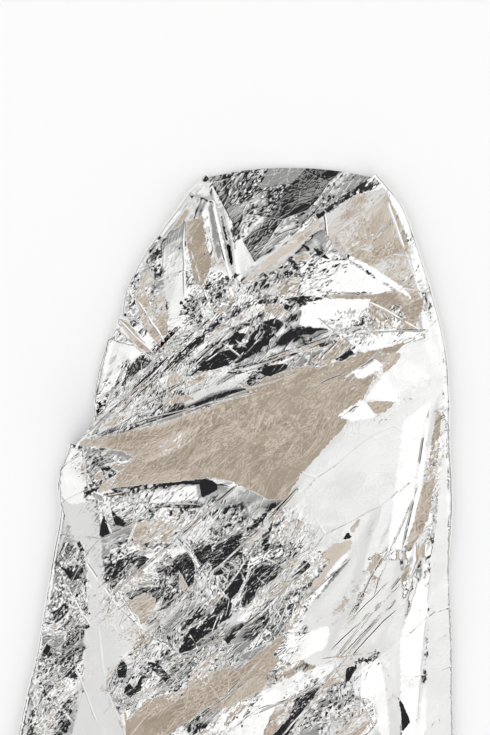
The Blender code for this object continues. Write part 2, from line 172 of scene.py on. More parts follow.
# Long straight creases, in the mesh and in the shading. Columns, in millimetres as seen from the
# camera's height: start, end, half width, slope of the two sides, less than 0 for a valley. Where two
# cross, the later one lies on top.
LONG_CREASES = (
    ((-173, -290), (-88, -219), 2.2, 0.37), ((-173, -291), (-108, -234), 1.5, -0.37),
    ((-88, -219), (-6, -145), 2.1, 0.37), ((-83, -211), (-29, -168), 1.5, -0.32),
    ((-127, -333), (-57, -267), 2.1, 0.37), ((-121, -316), (-80, -285), 1.4, -0.35),
    ((-44, -260), (22, -204), 2.2, 0.35), ((22, -204), (72, -148), 2.8, 0.32),
    ((29, -189), (70, -150), 1.5, -0.39), ((-88, -214), (-47, -267), 2.5, 0.37),
    ((-85, -222), (-65, -239), 1.5, -0.37), ((-29, -288), (22, -214), 2.0, 0.37),
    ((24, -290), (85, -242), 2.0, 0.39), ((-19, -346), (93, -244), 2.2, 0.35),
    ((22, -300), (70, -260), 1.5, -0.39), ((-22, -318), (9, -252), 2.0, 0.43),
    ((-88, -366), (22, -323), 1.7, 0.37), ((-108, -377), (6, -346), 1.4, -0.3),
    ((-173, -291), (-126, -336), 2.2, 0.39), ((-126, -336), (-80, -366), 1.7, 0.37),
    ((-202, -247), (-171, -290), 2.0, -0.37), ((-159, -285), (-136, -323), 1.8, -0.37),
    ((-149, -224), (-133, -186), 1.8, 0.39), ((-184, -219), (-138, -194), 1.5, 0.35),
    ((-177, -163), (-144, -156), 1.5, -0.43), ((-123, -172), (-57, -175), 1.4, -0.39),
    ((-121, -178), (-93, -194), 1.4, 0.37), ((-230, -270), (-194, -333), 1.7, 0.37),
    ((-253, -346), (-217, -377), 1.8, 0.37), ((-217, -377), (-179, -471), 1.7, 0.15),
    ((-255, -410), (-217, -450), 1.7, -0.32), ((-187, -328), (-177, -410), 2.8, 0.11),
    ((-177, -410), (-151, -471), 2.8, 0.11), ((-204, -87), (-17, 86), 2.5, 0.37),
    ((-171, -67), (-50, 48), 1.7, -0.39), ((-77, -11), (-17, 48), 1.8, 0.39),
    ((-50, 48), (1, 98), 1.8, -0.35), ((-133, -51), (-75, -16), 1.4, -0.37),
    ((-159, -74), (22, -31), 1.4, -0.32), ((-194, -95), (70, -6), 1.7, 0.28),
    ((14, 1), (118, 39), 2.0, -0.45), ((22, 10), (121, 43), 1.7, 0.37),
    ((83, -1), (123, 37), 2.2, 0.37), ((1, 20), (24, 43), 1.7, 0.39),
    ((-34, -8), (-1, 22), 1.8, 0.37), ((-50, 7), (-24, 30), 1.5, 0.37),
    ((-29, 32), (-6, 15), 1.5, 0.37), ((-121, -21), (-88, 7), 1.4, 0.37),
    ((-100, -6), (-62, 25), 1.4, 0.37), ((90, 65), (113, 45), 2.1, -0.45),
    ((121, -18), (177, 20), 2.5, 0.32), ((88, -23), (126, -8), 1.8, 0.37),
    ((136, 45), (235, 48), 2.2, 0.28), ((154, 86), (222, 48), 2.0, 0.24),
    ((197, 197), (159, 157), 2.0, 0.22), ((179, 218), (202, 149), 2.0, 0.15),
    ((202, 149), (225, 86), 2.0, 0.15), ((100, 195), (105, 167), 2.0, 0.32),
    ((-138, 86), (-100, 30), 2.1, 0.37), ((-161, 60), (-113, 15), 1.7, 0.3),
    ((-62, 98), (-50, 65), 2.0, 0.39), ((-52, 101), (-39, 70), 1.7, -0.43),
    ((-42, 208), (-19, 111), 2.0, 0.32), ((-77, 185), (-77, 86), 2.2, 0.26),
    ((-67, 149), (-55, 106), 1.4, -0.37), ((235, -46), (199, -239), 2.0, 0.28),
    ((222, -143), (161, -295), 1.8, -0.24), ((215, -244), (108, -377), 2.0, 0.26),
    ((202, -283), (90, -410), 1.8, -0.24), ((187, -219), (128, -321), 1.5, 0.22),
    ((95, -371), (171, -361), 1.7, -0.37), ((237, -244), (217, -467), 2.5, 0.17),
    ((105, -397), (9, -443), 2.0, 0.32), ((105, -399), (44, -471), 2.1, 0.39),
    ((144, -410), (166, -460), 1.8, 0.28), ((-57, -448), (22, -371), 1.8, 0.32),
    ((-80, -458), (-6, -397), 1.5, -0.3), ((-42, -430), (9, -397), 1.7, 0.37),
    ((70, -300), (136, -239), 1.8, -0.32), ((-179, -184), (-169, -211), 1.5, 0.43),
    ((108, -361), (177, -293), 1.5, 0.43), ((116, -371), (192, -295), 1.4, -0.41),
    ((126, -377), (194, -305), 1.5, 0.45), ((133, -346), (199, -272), 1.3, -0.43),
    ((128, -328), (184, -270), 1.3, 0.43), ((-62, -333), (-47, -315), 1.2, 0.5),
    ((-34, -315), (-41, -338), 1.1, -0.48), ((-27, -304), (-36, -331), 1.3, 0.52),
    ((-20, -295), (-27, -319), 1.0, 0.46), ((-70, -339), (-60, -359), 1.0, -0.5),
    ((26, -242), (44, -250), 1.3, 0.5), ((7, -258), (27, -275), 1.2, -0.48),
    ((-157, -269), (-134, -245), 1.2, 0.5), ((-64, -238), (-54, -266), 1.3, 0.48),
    ((-30, 35), (-46, 14), 1.3, 0.5), ((-13, 36), (17, 14), 1.2, -0.48),
    ((12, 60), (41, 49), 1.2, 0.46),
)
CREASE_FOOT = 4.0      # a ridge in the mesh is this much wider than its crest line, millimetres a side
CREASE_RISE = 3.0      # height of a ridge in the mesh for each unit of slope, millimetres
CREASE_TAPER = 12      # run-out of a ridge in the mesh at each end, millimetres
CREASE_LEVEL = 0.035   # mean height of the film that the creases run over, metres
CREASE_HELD = 0.85     # share of the shading's facing that a crease takes over
CREASE_ENDS = 9        # above 4, the higher the shorter a crease's pointed ends
CREASE_SIDES = 0.25    # share of a crease's half width over which it sets in
CREASE_CREST = 0.15    # share of a crease's half width where one side turns over into the other
CREASE_FAINT = 0.15    # share of the held facing that is left where a crease is pressed out
CREASE_BREAKS = (0.36, 0.52)  # it is pressed out below the first and whole above the second noise value
BREAKS_NOISE = (34.0, 3.0)  # presses the creases out
CREASE_WAVE = 7.0      # sideways wander of the creases, millimetres
WAVE_NOISE = (18.0, 2.0)  # they wander by this

# Where the film is crumpled. Columns, in millimetres: name, centre, half length, half width, angle of
# the long side in degrees, strength.
CRUMPLED = (
    ("collar band", (-51, 20), 190, 43, 35, 0.8),
    ("long panel", (-44, -82), 190, 58, 14, 0.13),
    ("panel end", (136, -31), 64, 51, 30, 0.3),
    ("neck notch", (-42, 91), 30, 28, 30, 0.9),
    ("collar lens", (-60, 149), 46, 15, 85, 0.35),
    ("pleats", (-118, 70), 53, 23, -62, 0.45),
    ("arm", (-93, 134), 51, 23, 60, 0.3),
    ("cuff", (-121, -175), 76, 25, 4, 0.8),
    ("panel corner", (-182, -125), 38, 23, -10, 0.95),
    ("panel hairlines", (-108, -107), 58, 23, 30, 0.28),
    ("ridge rim", (22, 2), 140, 18, 14, 0.6),
    ("left calm", (-184, -346), 51, 20, 80, 0.14),
    ("centre", (-83, -260), 114, 74, 30, 1.0),
    ("centre right", (22, -244), 76, 51, 45, 0.9),
    ("left edge", (-232, -346), 127, 30, 82, 0.85),
    ("lower centre", (-95, -374), 89, 48, 32, 0.85),
    ("centre foot", (42, -303), 58, 30, 52, 0.9),
    ("lower band", (-19, -410), 114, 33, 40, 0.55),
    ("lower right", (108, -410), 76, 38, 35, 0.5),
    ("lower right crumple", (126, -443), 38, 25, 20, 0.95),
    ("fan", (133, 50), 89, 23, 14, 0.45),
    ("right edge", (237, -130), 102, 11, 82, 0.5),
    ("right middle", (166, -244), 89, 15, 55, 0.4),
    ("shoulder", (161, 167), 76, 51, -60, 0.12),
    ("shoulder right", (210, 86), 51, 20, -70, 0.3),
    ("foot", (-19, -803), 400, 130, 42, 0.5),
)

# Facets of the crumpling that are in the mesh. Columns: size, height on a smooth panel and height where
# fully crumpled in millimetres, stretch, angle of the stretch in degrees, seed.
FACETS = (
    (38, 1.0, 7.0, 1.8, 42, 3),
    (17, 0.5, 4.0, 1.5, 42, 17),
)

# ---------------------------------------------------------------- look of the film

# Panels of the film that lean one way as a whole, so that each mirrors one part of the studio: for each
# tone, its panels' corners in millimetres as seen from the camera's height.
PANELS = {
    "silver": {
        "centre silver": ((-179, -161), (-57, -150), (6, -150), (70, -194), (77, -244), (70, -300),
            (22, -371), (-70, -410), (-154, -412), (-131, -359), (-133, -316), (-174, -295),
            (-187, -219)),
        "band silver": ((-207, -92), (-159, -48), (-51, 48), (70, 152), (127, 205), (108, 149),
            (70, 91), (108, 48), (44, 10), (-57, -8), (-133, -51), (-184, -82)),
        "left silver": ((-222, -219), (-204, -244), (-204, -346), (-217, -473), (-220, -493),
            (-260, -501), (-281, -483), (-260, -359), (-235, -244)),
        "corner mottle": ((-204, -102), (-179, -102), (-156, -105), (-133, -115), (-159, -120),
            (-169, -123), (-156, -135), (-164, -145), (-189, -153), (-202, -135)),
        "band mottle 2": ((-11, 48), (22, 58), (47, 53), (60, 35), (22, 10), (-6, 22)),
        "lower mottle 2": ((90, -430), (136, -410), (141, -422), (98, -448)),
        "neck edge": ((-47, 205), (-41, 210), (-27, 149), (-34, 134), (-42, 162)),
        "neck foot": ((-57, 98), (-39, 86), (-50, 68), (-62, 83)),
        "lower mottle 3": ((70, -427), (108, -415), (110, -488), (70, -501), (50, -478)),
        "ridge rim": ((-194, -92), (-121, -44), (-38, -8), (22, -6), (70, 15), (121, 32), (182, 35),
            (70, -16), (-108, -79)),
        "ridge rim 2": ((-62, -26), (6, -6), (22, -13), (-29, -34), (-70, -39)),
        "right wedge": ((156, -361), (169, -341), (182, -316), (196, -298), (184, -328), (174, -361)),
        "cuff mist": ((44, -196), (128, -204), (128, -219), (83, -239), (65, -244), (39, -211)),
        "centre mist": ((14, -168), (57, -156), (65, -194), (44, -194), (22, -189)),
    },
    "grey": {
        "big calm": ((52, -140), (116, -72), (192, 27), (235, 40), (248, -44), (235, -219), (136, -247),
            (50, -219)),
        "right rim": ((222, 86), (240, 48), (255, -67), (260, -295), (235, -295), (243, -168),
            (235, -41)),
        "left calm": ((-235, -171), (-187, -168), (-177, -283), (-133, -316), (-136, -346),
            (-179, -410), (-197, -371), (-204, -244)),
        "left calm foot": ((-204, -308), (-133, -308), (-136, -359), (-169, -422), (-146, -488),
            (-174, -501), (-225, -486), (-204, -410)),
        "right calm": ((237, -219), (260, -295), (263, -498), (248, -483), (227, -501)),
        "lower right calm": ((136, -239), (202, -295), (197, -483), (182, -498), (164, -415),
            (121, -392), (70, -371)),
        "arm calm": ((-108, 157), (-77, 195), (-75, 86), (-93, 48), (-103, 98)),
        "lower calm": ((70, -318), (136, -242), (197, -244), (202, -298), (121, -382)),
    },
    "tan": {
        "main panel left": ((-212, -98), (-204, -92), (-108, -73), (70, -8), (70, -138), (44, -161),
            (-38, -140), (-169, -153), (-189, -161), (-179, -143), (-156, -134), (-177, -124),
            (-131, -119), (-156, -106), (-187, -101)),
        "corner streak": ((-194, -138), (-171, -125), (-166, -128), (-187, -145)),
        "main panel right": ((70, -8), (177, 27), (151, -39), (127, -73), (70, -138)),
        "main panel foot": ((-17, -143), (22, -143), (70, -138), (51, -168), (29, -168)),
        "shoulder wedge": ((103, 93), (133, 92), (169, 93), (187, 102), (207, 88), (210, 58), (189, 50),
            (156, 69)),
        "collar patch": ((22, 96), (57, 116), (72, 114), (67, 96), (37, 90)),
        "collar patch 2": ((24, 78), (47, 81), (52, 70), (34, 65)),
        "fan tail 3": ((136, 20), (182, 30), (207, 35), (192, 20), (161, 12)),
        "chin wedge": ((80, 7), (116, 32), (136, 32), (126, 20), (103, 4)),
        "collar lens": ((-75, 185), (-53, 192), (-50, 164), (-43, 134), (-52, 101), (-62, 104),
            (-74, 152)),
        "pleat 1": ((-133, 111), (-124, 124), (-113, 111), (-118, 104), (-131, 101)),
        "pleat 2": ((-116, 88), (-103, 98), (-98, 58), (-98, 30), (-108, 35), (-113, 63)),
        "pleat 3": ((-141, 91), (-131, 106), (-123, 86), (-108, 48), (-98, 27), (-108, 25), (-128, 53)),
        "ear": ((-164, 65), (-151, 59), (-110, 20), (-113, 12), (-141, 30)),
        "outline sliver": ((-93, 175), (-74, 203), (-70, 197), (-85, 177)),
        "band patch": ((-110, -18), (-93, -4), (-75, -13), (-103, -29)),
        "band patch 2": ((-110, -44), (-77, -34), (-62, -39), (-100, -49)),
        "centre patch": ((-144, -191), (-133, -199), (-118, -194), (-88, -191), (-95, -219),
            (-128, -229), (-141, -227)),
        "lower patch": ((-156, -288), (-144, -295), (-128, -285), (-113, -295), (-118, -313),
            (-131, -326), (-141, -311)),
        "lower patch 2": ((-83, -252), (-75, -270), (-62, -285), (-83, -283)),
        "lower band 1": ((-149, -448), (-126, -422), (-83, -410), (-57, -392), (-11, -377), (-24, -410),
            (-62, -443), (-108, -473), (-121, -483), (-164, -498)),
        "lower band 2": ((-70, -410), (-6, -382), (39, -346), (60, -338), (22, -410), (-39, -438)),
        "cuff tip": ((98, -237), (113, -227), (128, -223), (118, -236), (108, -247), (103, -244)),
        "right sliver core": ((232, -143), (240, -148), (227, -206), (207, -234), (217, -189)),
        "ridge foot": ((-6, -23), (70, 2), (95, 4), (70, -11), (9, -31)),
    },
    "fawn": {
        "shoulder": ((98, 182), (136, 218), (177, 228), (202, 177), (224, 83), (194, 106), (149, 134),
            (113, 152)),
        "shoulder foot": ((187, 102), (212, 126), (227, 81), (215, 48), (189, 48), (207, 70)),
        "collar strip": ((-9, 105), (29, 139), (70, 172), (126, 211), (136, 215), (93, 177), (65, 147),
            (22, 111)),
        "collar tongue": ((60, 142), (77, 144), (110, 137), (93, 129), (70, 124)),
        "fan tail 1": ((103, 63), (136, 69), (144, 63), (118, 53)),
        "fan tail 2": ((149, 48), (166, 58), (182, 53), (159, 43)),
        "fan tail 4": ((166, 15), (197, 20), (194, 7), (177, -7)),
        "fan tail 5": ((154, -43), (192, -43), (177, -57), (164, -59)),
        "band below cuff": ((-1, -219), (14, -204), (37, -178), (47, -186), (22, -214), (6, -229)),
        "lower band 3": ((55, -333), (70, -302), (75, -289), (88, -271), (103, -253), (109, -244),
            (100, -242), (95, -237), (113, -224), (133, -219), (137, -223), (133, -231), (121, -241),
            (110, -253), (98, -271), (84, -288), (75, -300), (61, -333)),
        "right sliver": ((243, -54), (249, -57), (243, -130), (232, -194), (202, -239), (217, -181),
            (232, -130)),
        "right sliver 2": ((154, -257), (166, -234), (177, -242), (161, -262)),
        "right sliver 3": ((197, -277), (202, -252), (212, -247), (204, -270)),
        "right sliver 4": ((133, -206), (144, -189), (147, -194), (138, -209)),
    },
    "haze": {
        "panel haze": ((65, -158), (77, -130), (103, -105), (136, -79), (161, -72), (199, -87),
            (197, -168), (136, -199), (85, -194)),
        "left calm haze": ((-202, -260), (-187, -257), (-168, -293), (-136, -316), (-136, -344),
            (-166, -377), (-187, -410), (-197, -371), (-197, -321)),
    },
    "pale": {
        "side bulge": ((-235, -130), (-220, -102), (-207, -105), (-202, -130), (-199, -156),
            (-204, -171), (-222, -173), (-235, -163)),
        "fan white 2": ((133, 37), (197, 48), (235, 48), (187, 27), (136, 17)),
        "neck white": ((-75, 101), (-62, 98), (-70, 86), (-80, 78)),
        "cuff strip": ((-174, -168), (-121, -158), (-62, -150), (-60, -168), (-121, -173)),
        "centre white 1": ((-70, -219), (-55, -229), (-50, -257), (-60, -262), (-67, -239)),
        "centre white 3": ((-6, -305), (11, -311), (1, -323), (-11, -323)),
        "centre white 4": ((-62, -366), (-37, -349), (-32, -366), (-52, -374)),
        "centre white 5": ((-67, -336), (-50, -326), (-34, -336), (-50, -349)),
        "right fold white": ((202, -67), (235, -44), (227, -130), (194, -227), (179, -244)),
        "lower pale 1": ((22, -410), (70, -387), (108, -377), (121, -392), (105, -399), (57, -422),
            (17, -443)),
        "lower pale 2": ((136, -387), (171, -371), (179, -410), (185, -493), (177, -483), (161, -425),
            (138, -415)),
        "ear white": ((-149, 60), (-133, 58), (-108, 22), (-121, 22)),
        "shoulder calm": ((-174, 37), (-141, 27), (-118, 10), (-151, -21), (-184, -36)),
        "arm calm 2": ((-126, 134), (-110, 154), (-105, 134), (-110, 111)),
    },
    "white": {
        "white wedge": ((70, 134), (113, 147), (187, 98), (169, 95), (103, 96), (72, 86)),
        "shoulder strip": ((116, 149), (151, 133), (197, 104), (220, 81), (189, 101)),
        "fan white": ((72, 78), (103, 88), (159, 86), (154, 68), (116, 48), (70, 53)),
        "fan white 3": ((136, -6), (164, 12), (177, 2), (146, -16)),
        "panel tip 1": ((113, -62), (149, -40), (166, -62), (136, -68)),
        "panel tip 2": ((154, -39), (179, -8), (197, -44), (171, -41)),
        "centre white 2": ((6, -239), (47, -227), (52, -239), (22, -247), (1, -260)),
        "right fold white 2": ((215, -143), (227, -130), (215, -194), (199, -234), (192, -229)),
        "lower white 1": ((34, -366), (55, -338), (70, -341), (103, -328), (108, -333), (103, -356),
            (60, -377)),
        "lower white 2": ((197, -346), (220, -270), (235, -283), (227, -346), (215, -467), (210, -498),
            (199, -488)),
        "lower white 3": ((-52, -488), (-6, -438), (22, -410), (47, -410), (22, -467), (-6, -496)),
        "cuff rim": ((135, -231), (122, -242), (112, -255), (98, -274), (80, -295), (72, -305),
            (79, -303), (93, -288), (110, -266), (127, -244)),
    },
    "dim": {
        "band mottle": ((-6, -21), (14, -8), (24, -13), (14, -23)),
        "collar mottle": ((14, 116), (32, 121), (57, 121), (50, 111), (24, 107)),
        "notch dark": ((-83, 83), (-62, 96), (-52, 86), (-57, 60), (-67, 53), (-77, 70)),
        "notch dark 2": ((-47, 96), (-29, 116), (-19, 119), (-17, 106), (-29, 88), (-39, 81)),
        "cuff dark": ((-179, -161), (-146, -153), (-88, -147), (-121, -157), (-169, -164)),
        "cuff mottle": ((-126, -178), (-57, -171), (-50, -176), (-75, -186), (-113, -194)),
        "centre dark 8": ((-1, -211), (9, -197), (29, -185), (24, -196), (6, -214)),
        "centre dark 17": ((22, -227), (34, -218), (50, -218), (67, -234), (62, -242), (44, -227)),
        "centre dark 18": ((-161, -232), (-108, -220), (-100, -227), (-159, -241)),
        "centre dark 19": ((27, -349), (37, -333), (57, -318), (47, -338)),
        "centre mottle": ((-159, -280), (-121, -270), (-83, -267), (-88, -277), (-121, -285)),
        "lower dark 8": ((136, -377), (169, -361), (169, -369), (151, -374)),
        "lower mottle": ((27, -387), (44, -382), (39, -397), (29, -402)),
        "left dark 1": ((-230, -239), (-222, -229), (-204, -239), (-202, -283), (-199, -328),
            (-220, -341), (-245, -336), (-248, -295), (-237, -260)),
        "left dark 9": ((-237, -371), (-220, -359), (-212, -387), (-220, -410), (-235, -402)),
        "left dark 10": ((-260, -387), (-248, -359), (-237, -364), (-245, -410), (-260, -412)),
        "corner dark": ((-204, -153), (-194, -145), (-184, -148), (-192, -161), (-202, -163)),
        "corner dark 2": ((-194, -120), (-184, -112), (-164, -135), (-171, -140)),
        "left dark 7": ((-255, -430), (-222, -410), (-220, -453), (-237, -471), (-260, -460)),
    },
    "dark": {
        "band dark 1": ((-150, -39), (-141, -23), (-126, -6), (-100, 12), (-75, 27), (-50, 43),
            (-52, 32), (-72, 15), (-95, -3), (-123, -13), (-138, -31)),
        "band dark 2": ((-70, -11), (-57, 2), (-39, 22), (-29, 20), (-19, 4), (-42, -3)),
        "band dark 3": ((-29, 20), (-6, 27), (22, 58), (39, 63), (50, 55), (34, 37), (17, 20),
            (-11, 4)),
        "band dark 4": ((-22, 32), (-11, 45), (1, 43), (-6, 32), (-19, 27)),
        "band dark 5": ((14, 81), (22, 87), (44, 87), (39, 81)),
        "band dark 6": ((47, 86), (62, 90), (80, 91), (84, 84), (67, 82)),
        "band dark 7": ((17, -7), (27, 2), (57, 6), (52, -2), (32, -12)),
        "band dark 8": ((90, 29), (116, 37), (116, 32), (95, 25)),
        "band dark 9": ((113, 10), (133, 22), (141, 17), (121, 7)),
        "collar dark": ((72, 157), (85, 150), (80, 147)),
        "collar dark 2": ((85, 153), (98, 147), (108, 137), (95, 140)),
        "notch core": ((-39, 88), (-34, 98), (-28, 93), (-33, 82)),
        "elbow dark": ((-58, -148), (-51, -142), (-39, -144), (-34, -154), (-42, -159), (-55, -167)),
        "centre dark 1": ((-185, -214), (-183, -199), (-179, -185), (-175, -199), (-169, -208),
            (-179, -215)),
        "centre dark 2": ((-171, -178), (-161, -189), (-150, -196), (-154, -203), (-165, -199)),
        "centre dark 3": ((-174, -285), (-169, -257), (-161, -244), (-133, -238), (-121, -242),
            (-138, -260), (-159, -275)),
        "centre dark 4": ((-114, -264), (-100, -252), (-83, -251), (-88, -264)),
        "centre dark 5": ((-93, -247), (-83, -238), (-70, -234), (-64, -252), (-65, -270), (-72, -279),
            (-79, -265)),
        "centre dark 6": ((-66, -234), (-52, -227), (-41, -223), (-44, -242), (-52, -252), (-60, -244)),
        "centre dark 7": ((-39, -227), (-22, -219), (-4, -209), (-6, -227), (-22, -242), (-42, -258),
            (-43, -242)),
        "centre dark 9": ((0, -277), (5, -261), (19, -252), (39, -250), (50, -255), (39, -267),
            (22, -279)),
        "centre dark 10": ((-32, -280), (-22, -272), (-1, -270), (-6, -283), (-19, -295)),
        "centre dark 11": ((-6, -302), (1, -283), (17, -279), (11, -294), (3, -305)),
        "centre dark 12": ((-57, -318), (-42, -300), (-27, -290), (-17, -298), (-17, -316), (-32, -326),
            (-52, -328)),
        "centre dark 13": ((-86, -364), (-77, -341), (-65, -328), (-39, -321), (-32, -336), (-42, -349),
            (-62, -359)),
        "centre dark 14": ((-29, -344), (-17, -331), (-4, -323), (0, -331), (-22, -351)),
        "centre dark 15": ((-79, -326), (-67, -316), (-50, -303), (-52, -316), (-72, -328)),
        "centre dark 16": ((50, -284), (62, -262), (76, -243), (85, -252), (70, -264)),
        "lower dark 1": ((-163, -384), (-157, -369), (-149, -379), (-151, -394), (-161, -394)),
        "lower dark 2": ((-155, -412), (-146, -399), (-141, -410), (-131, -389), (-131, -410),
            (-146, -420)),
        "lower dark 3": ((-126, -373), (-110, -377), (-93, -394), (-100, -401), (-118, -384)),
        "lower dark 4": ((52, -448), (65, -421), (85, -408), (105, -397), (85, -420), (65, -435)),
        "lower dark 5": ((32, -471), (52, -448), (70, -432), (90, -420), (70, -443), (52, -471)),
        "lower dark 6": ((127, -406), (128, -382), (144, -377), (136, -392)),
        "lower dark 7": ((193, -415), (202, -430), (210, -450), (199, -464), (198, -438)),
        "cuff point": ((123, -220), (130, -209), (138, -215)),
        "left dark 2": ((-245, -311), (-227, -298), (-222, -316), (-237, -336)),
        "left dark 3": ((-234, -328), (-222, -316), (-222, -323), (-230, -331)),
        "left dark 4": ((-235, -252), (-207, -250), (-204, -265), (-220, -272)),
        "left dark 5": ((-215, -219), (-210, -220), (-203, -234), (-210, -232)),
        "left dark 6": ((-257, -361), (-251, -349), (-245, -354), (-251, -366)),
        "left dark 8": ((-232, -392), (-217, -371), (-213, -397), (-222, -394)),
    },
}
# How each tone's panels lean. Where two overlap, the later tone wins, and the last is the dark one.
# Columns: tone, azimuth and angle of the lean in degrees, share of it that is held, softness of the
# panel's edge and raggedness of the pattern that breaks it in millimetres, how far inside the edge its
# distance is counted in millimetres, whether every place is aimed at one and the same card, share of the
# small facets' tilt that the panel is free of.
TONES = (
    # The inside tone is painted shade of the neck opening: it leans the film there to mirror a dark grey
    # card.
    ("inside", 140, 14, 0.84, 3.0, 6.5, 20, True, 0.50),
    ("silver", 150, 13, 0.80, 6.0, 6.5, 20, False, 0.35),
    ("grey", 0, 0, 0.80, 5.0, 6.5, 20, False, 0.70),
    ("tan", -78, 16, 0.90, 1.6, 6.5, 20, False, 0.70),
    ("fawn", -106, 17, 0.88, 1.6, 6.5, 20, False, 0.42),
    ("haze", 0, 0, 0.88, 16.0, 6.5, 20, False, 0.85),
    ("pale", 35, 12, 0.80, 3.5, 6.5, 20, False, 0.2),
    ("white", 35, 17, 0.85, 2.5, 6.5, 20, False, 0.4),
    ("dim", 118, 18, 0.86, 2.0, 24.0, 1, True, 0.45),
    ("dark", 116, 19, 0.93, 1.2, 4.0, 20, True, 0.76),
)
RAGGED_NOISE = (190.0, 3.0)  # breaks the panels' edges
PANEL_REACH = 20       # distances to a panel's edge are kept up to this far, millimetres
SEEN_FROM = 2.6        # height that the panels' places are seen from, metres
AIM_TURN = 0.53        # an aimed panel's turn for each unit of the sight line's slope, half for a mirror
FACES_UP = 0.3         # panels and long creases fade out where the film faces up by less than this
# The foot, below this y in millimetres, repeats the panels and the long creases above, turned half round:
# a place in it is looked up at these less its own x and y.
FOOT_START = -505
FOOT_TURN = (-50, -1010)

# Facets that only tilt the shading, the largest first. Columns: size in millimetres, stretch, angle in
# degrees, tilt on a smooth panel, tilt where fully crumpled, share of the ridge between two facets,
# offset of the pattern.
GLINTS = (
    (30.0, 2.4, 40, 0.030, 0.60, 0.35, 3.0),
    (12.0, 3.0, 52, 0.035, 0.34, 0.45, 1.0),
    (4.6, 2.4, 34, 0.040, 0.26, 0.30, 5.0),
    (1.9, 2.2, 52, 0.045, 0.52, 0.00, 9.0),
)
GLINT_BEND = 0.08      # how far the small facets' borders bend, in facets
BEND_NOISE = (0.7, 1.0)  # they bend by this, its scale for each facet
GLINT_SWIRL = 0.044    # how far the facets' directions wander, metres
SWIRL_NOISE = (9.0, 1.0)  # they wander by this
OFFSET_UP = 0.7        # a pattern's offset in y for each unit of its offset in x
RIPPLE = 0.085         # tilt of the watery ripples
RIPPLE_NOISE = (32.0, 4.0)
DARK_CLEAR = 0.50      # share of the facets' ridges that a dark panel is free of
SMOOTH_RIDGES = 0.18   # share of the facets' ridges on a smooth panel
STEEP_GAIN = 5.0       # gain of the small facets' tilts by the square of their draw
RIDGE_WIDTH = 0.8      # width of the ridges between small facets, millimetres
RIDGE_HEIGHT = 0.00045  # their height, metres
RIDGE_STRENGTH = 0.6   # share of that height that shades
FINE_LEAST = 0.25      # the large facets differ in how finely they are crumpled: from this share
FINE_SPREAD = 1.8      # to this much more
WORN_NOISE = (14.0, 4.0)  # where the film is rubbed
WORN_BLUR = 0.06       # spread of the roughness there
# Fold lines from the packet, that only the shading shows: distance between them in millimetres, stretch
# and angle of the pattern, width in millimetres, offset of the pattern, share.
PACKET_CREASES = (58.0, 2.6, 38, 1.0, 2.0, 0.5)
PACKET_PATCHES = (0.47, 0.58)  # they show from the first noise value, and fully at the second
PATCH_NOISE = (8.0, 2.0)


# ---------------------------------------------------------------- studio

# What the film mirrors, from the one behind to the one in front. Columns: name, azimuth from +X and angle
# from straight up in degrees, half angle, softness, colour.
CARDS = (
    ("light above", 0, 0, 73, 7, (0.88, 0.88, 0.875)),
    ("grey ring", 90, 60, 46, 14, (0.50, 0.50, 0.50)),
    ("light far", 95, 72, 18, 6, (0.86, 0.86, 0.865)),
    ("bright overhead", 30, 16, 10, 10, (1.02, 1.02, 1.02)),
    ("shade overhead", 215, 15, 9, 9, (0.77, 0.77, 0.77)),
    ("white right", 35, 38, 20, 7, (1.12, 1.12, 1.12)),
    ("white left", 190, 50, 20, 7, (1.00, 1.00, 1.00)),
    ("grey left", 152, 26, 12, 6, (0.34, 0.34, 0.335)),
    ("white low", -40, 50, 15, 5, (1.10, 1.10, 1.10)),
    ("white near low", -120, 56, 17, 6, (1.00, 0.99, 0.97)),
    ("grey low left", -140, 34, 9, 5, (0.40, 0.40, 0.39)),
    ("tan floor", -80, 36, 19, 4, (0.53, 0.455, 0.38)),
    ("tan floor core", -76, 31, 9, 7, (0.44, 0.37, 0.30)),
    ("fawn floor", -108, 34, 9, 4, (0.70, 0.625, 0.55)),
    ("tan light", -85, 28, 2.5, 2, (0.68, 0.60, 0.51)),
    ("tan light low", -70, 36, 2.5, 2, (0.66, 0.58, 0.49)),
    ("tan deep", -86, 36, 2.5, 2, (0.36, 0.305, 0.24)),
    ("tan deep high", -66, 27, 2.5, 2, (0.40, 0.34, 0.275)),
    ("dark top", 106, 38, 12, 3, (0.022, 0.022, 0.024)),
    ("dark top left", 130, 38, 12, 3, (0.022, 0.022, 0.024)),
    ("grey low back", -135, 66, 9, 6, (0.42, 0.42, 0.42)),
    ("grey low right", -8, 68, 9, 6, (0.45, 0.45, 0.45)),
    ("grey low side", 165, 67, 9, 6, (0.42, 0.42, 0.42)),
    ("grey low far side", 205, 70, 9, 6, (0.42, 0.42, 0.42)),
    ("dark back", 70, 79, 8, 3, (0.04, 0.04, 0.04)),
    ("dark low", -40, 80, 8, 3, (0.04, 0.035, 0.03)),
    ("dark low left", -135, 80, 8, 3, (0.04, 0.035, 0.03)),
    ("dark side", 178, 80, 8, 3, (0.04, 0.04, 0.04)),
    ("dark low right", 0, 82, 7, 3, (0.04, 0.04, 0.04)),
    ("dark near side", 255, 81, 6, 3, (0.05, 0.045, 0.04)),
    ("pale slit", 122, 52, 3, 1, (1.10, 1.10, 1.10)),
    ("dark slit low", -100, 64, 5, 2, (0.05, 0.04, 0.035)),
    ("dark slit right", -12, 36, 6, 2, (0.05, 0.045, 0.04)),
    ("dark slit left", 196, 32, 7.5, 2, (0.05, 0.05, 0.05)),
    ("dark slit far", 80, 30, 7.5, 2, (0.04, 0.04, 0.04)),
    ("dark slit near", -38, 28, 5, 2, (0.06, 0.05, 0.045)),
)
LOW_GREY = (0.58, 0.58, 0.58)  # behind the cards, toward the floor
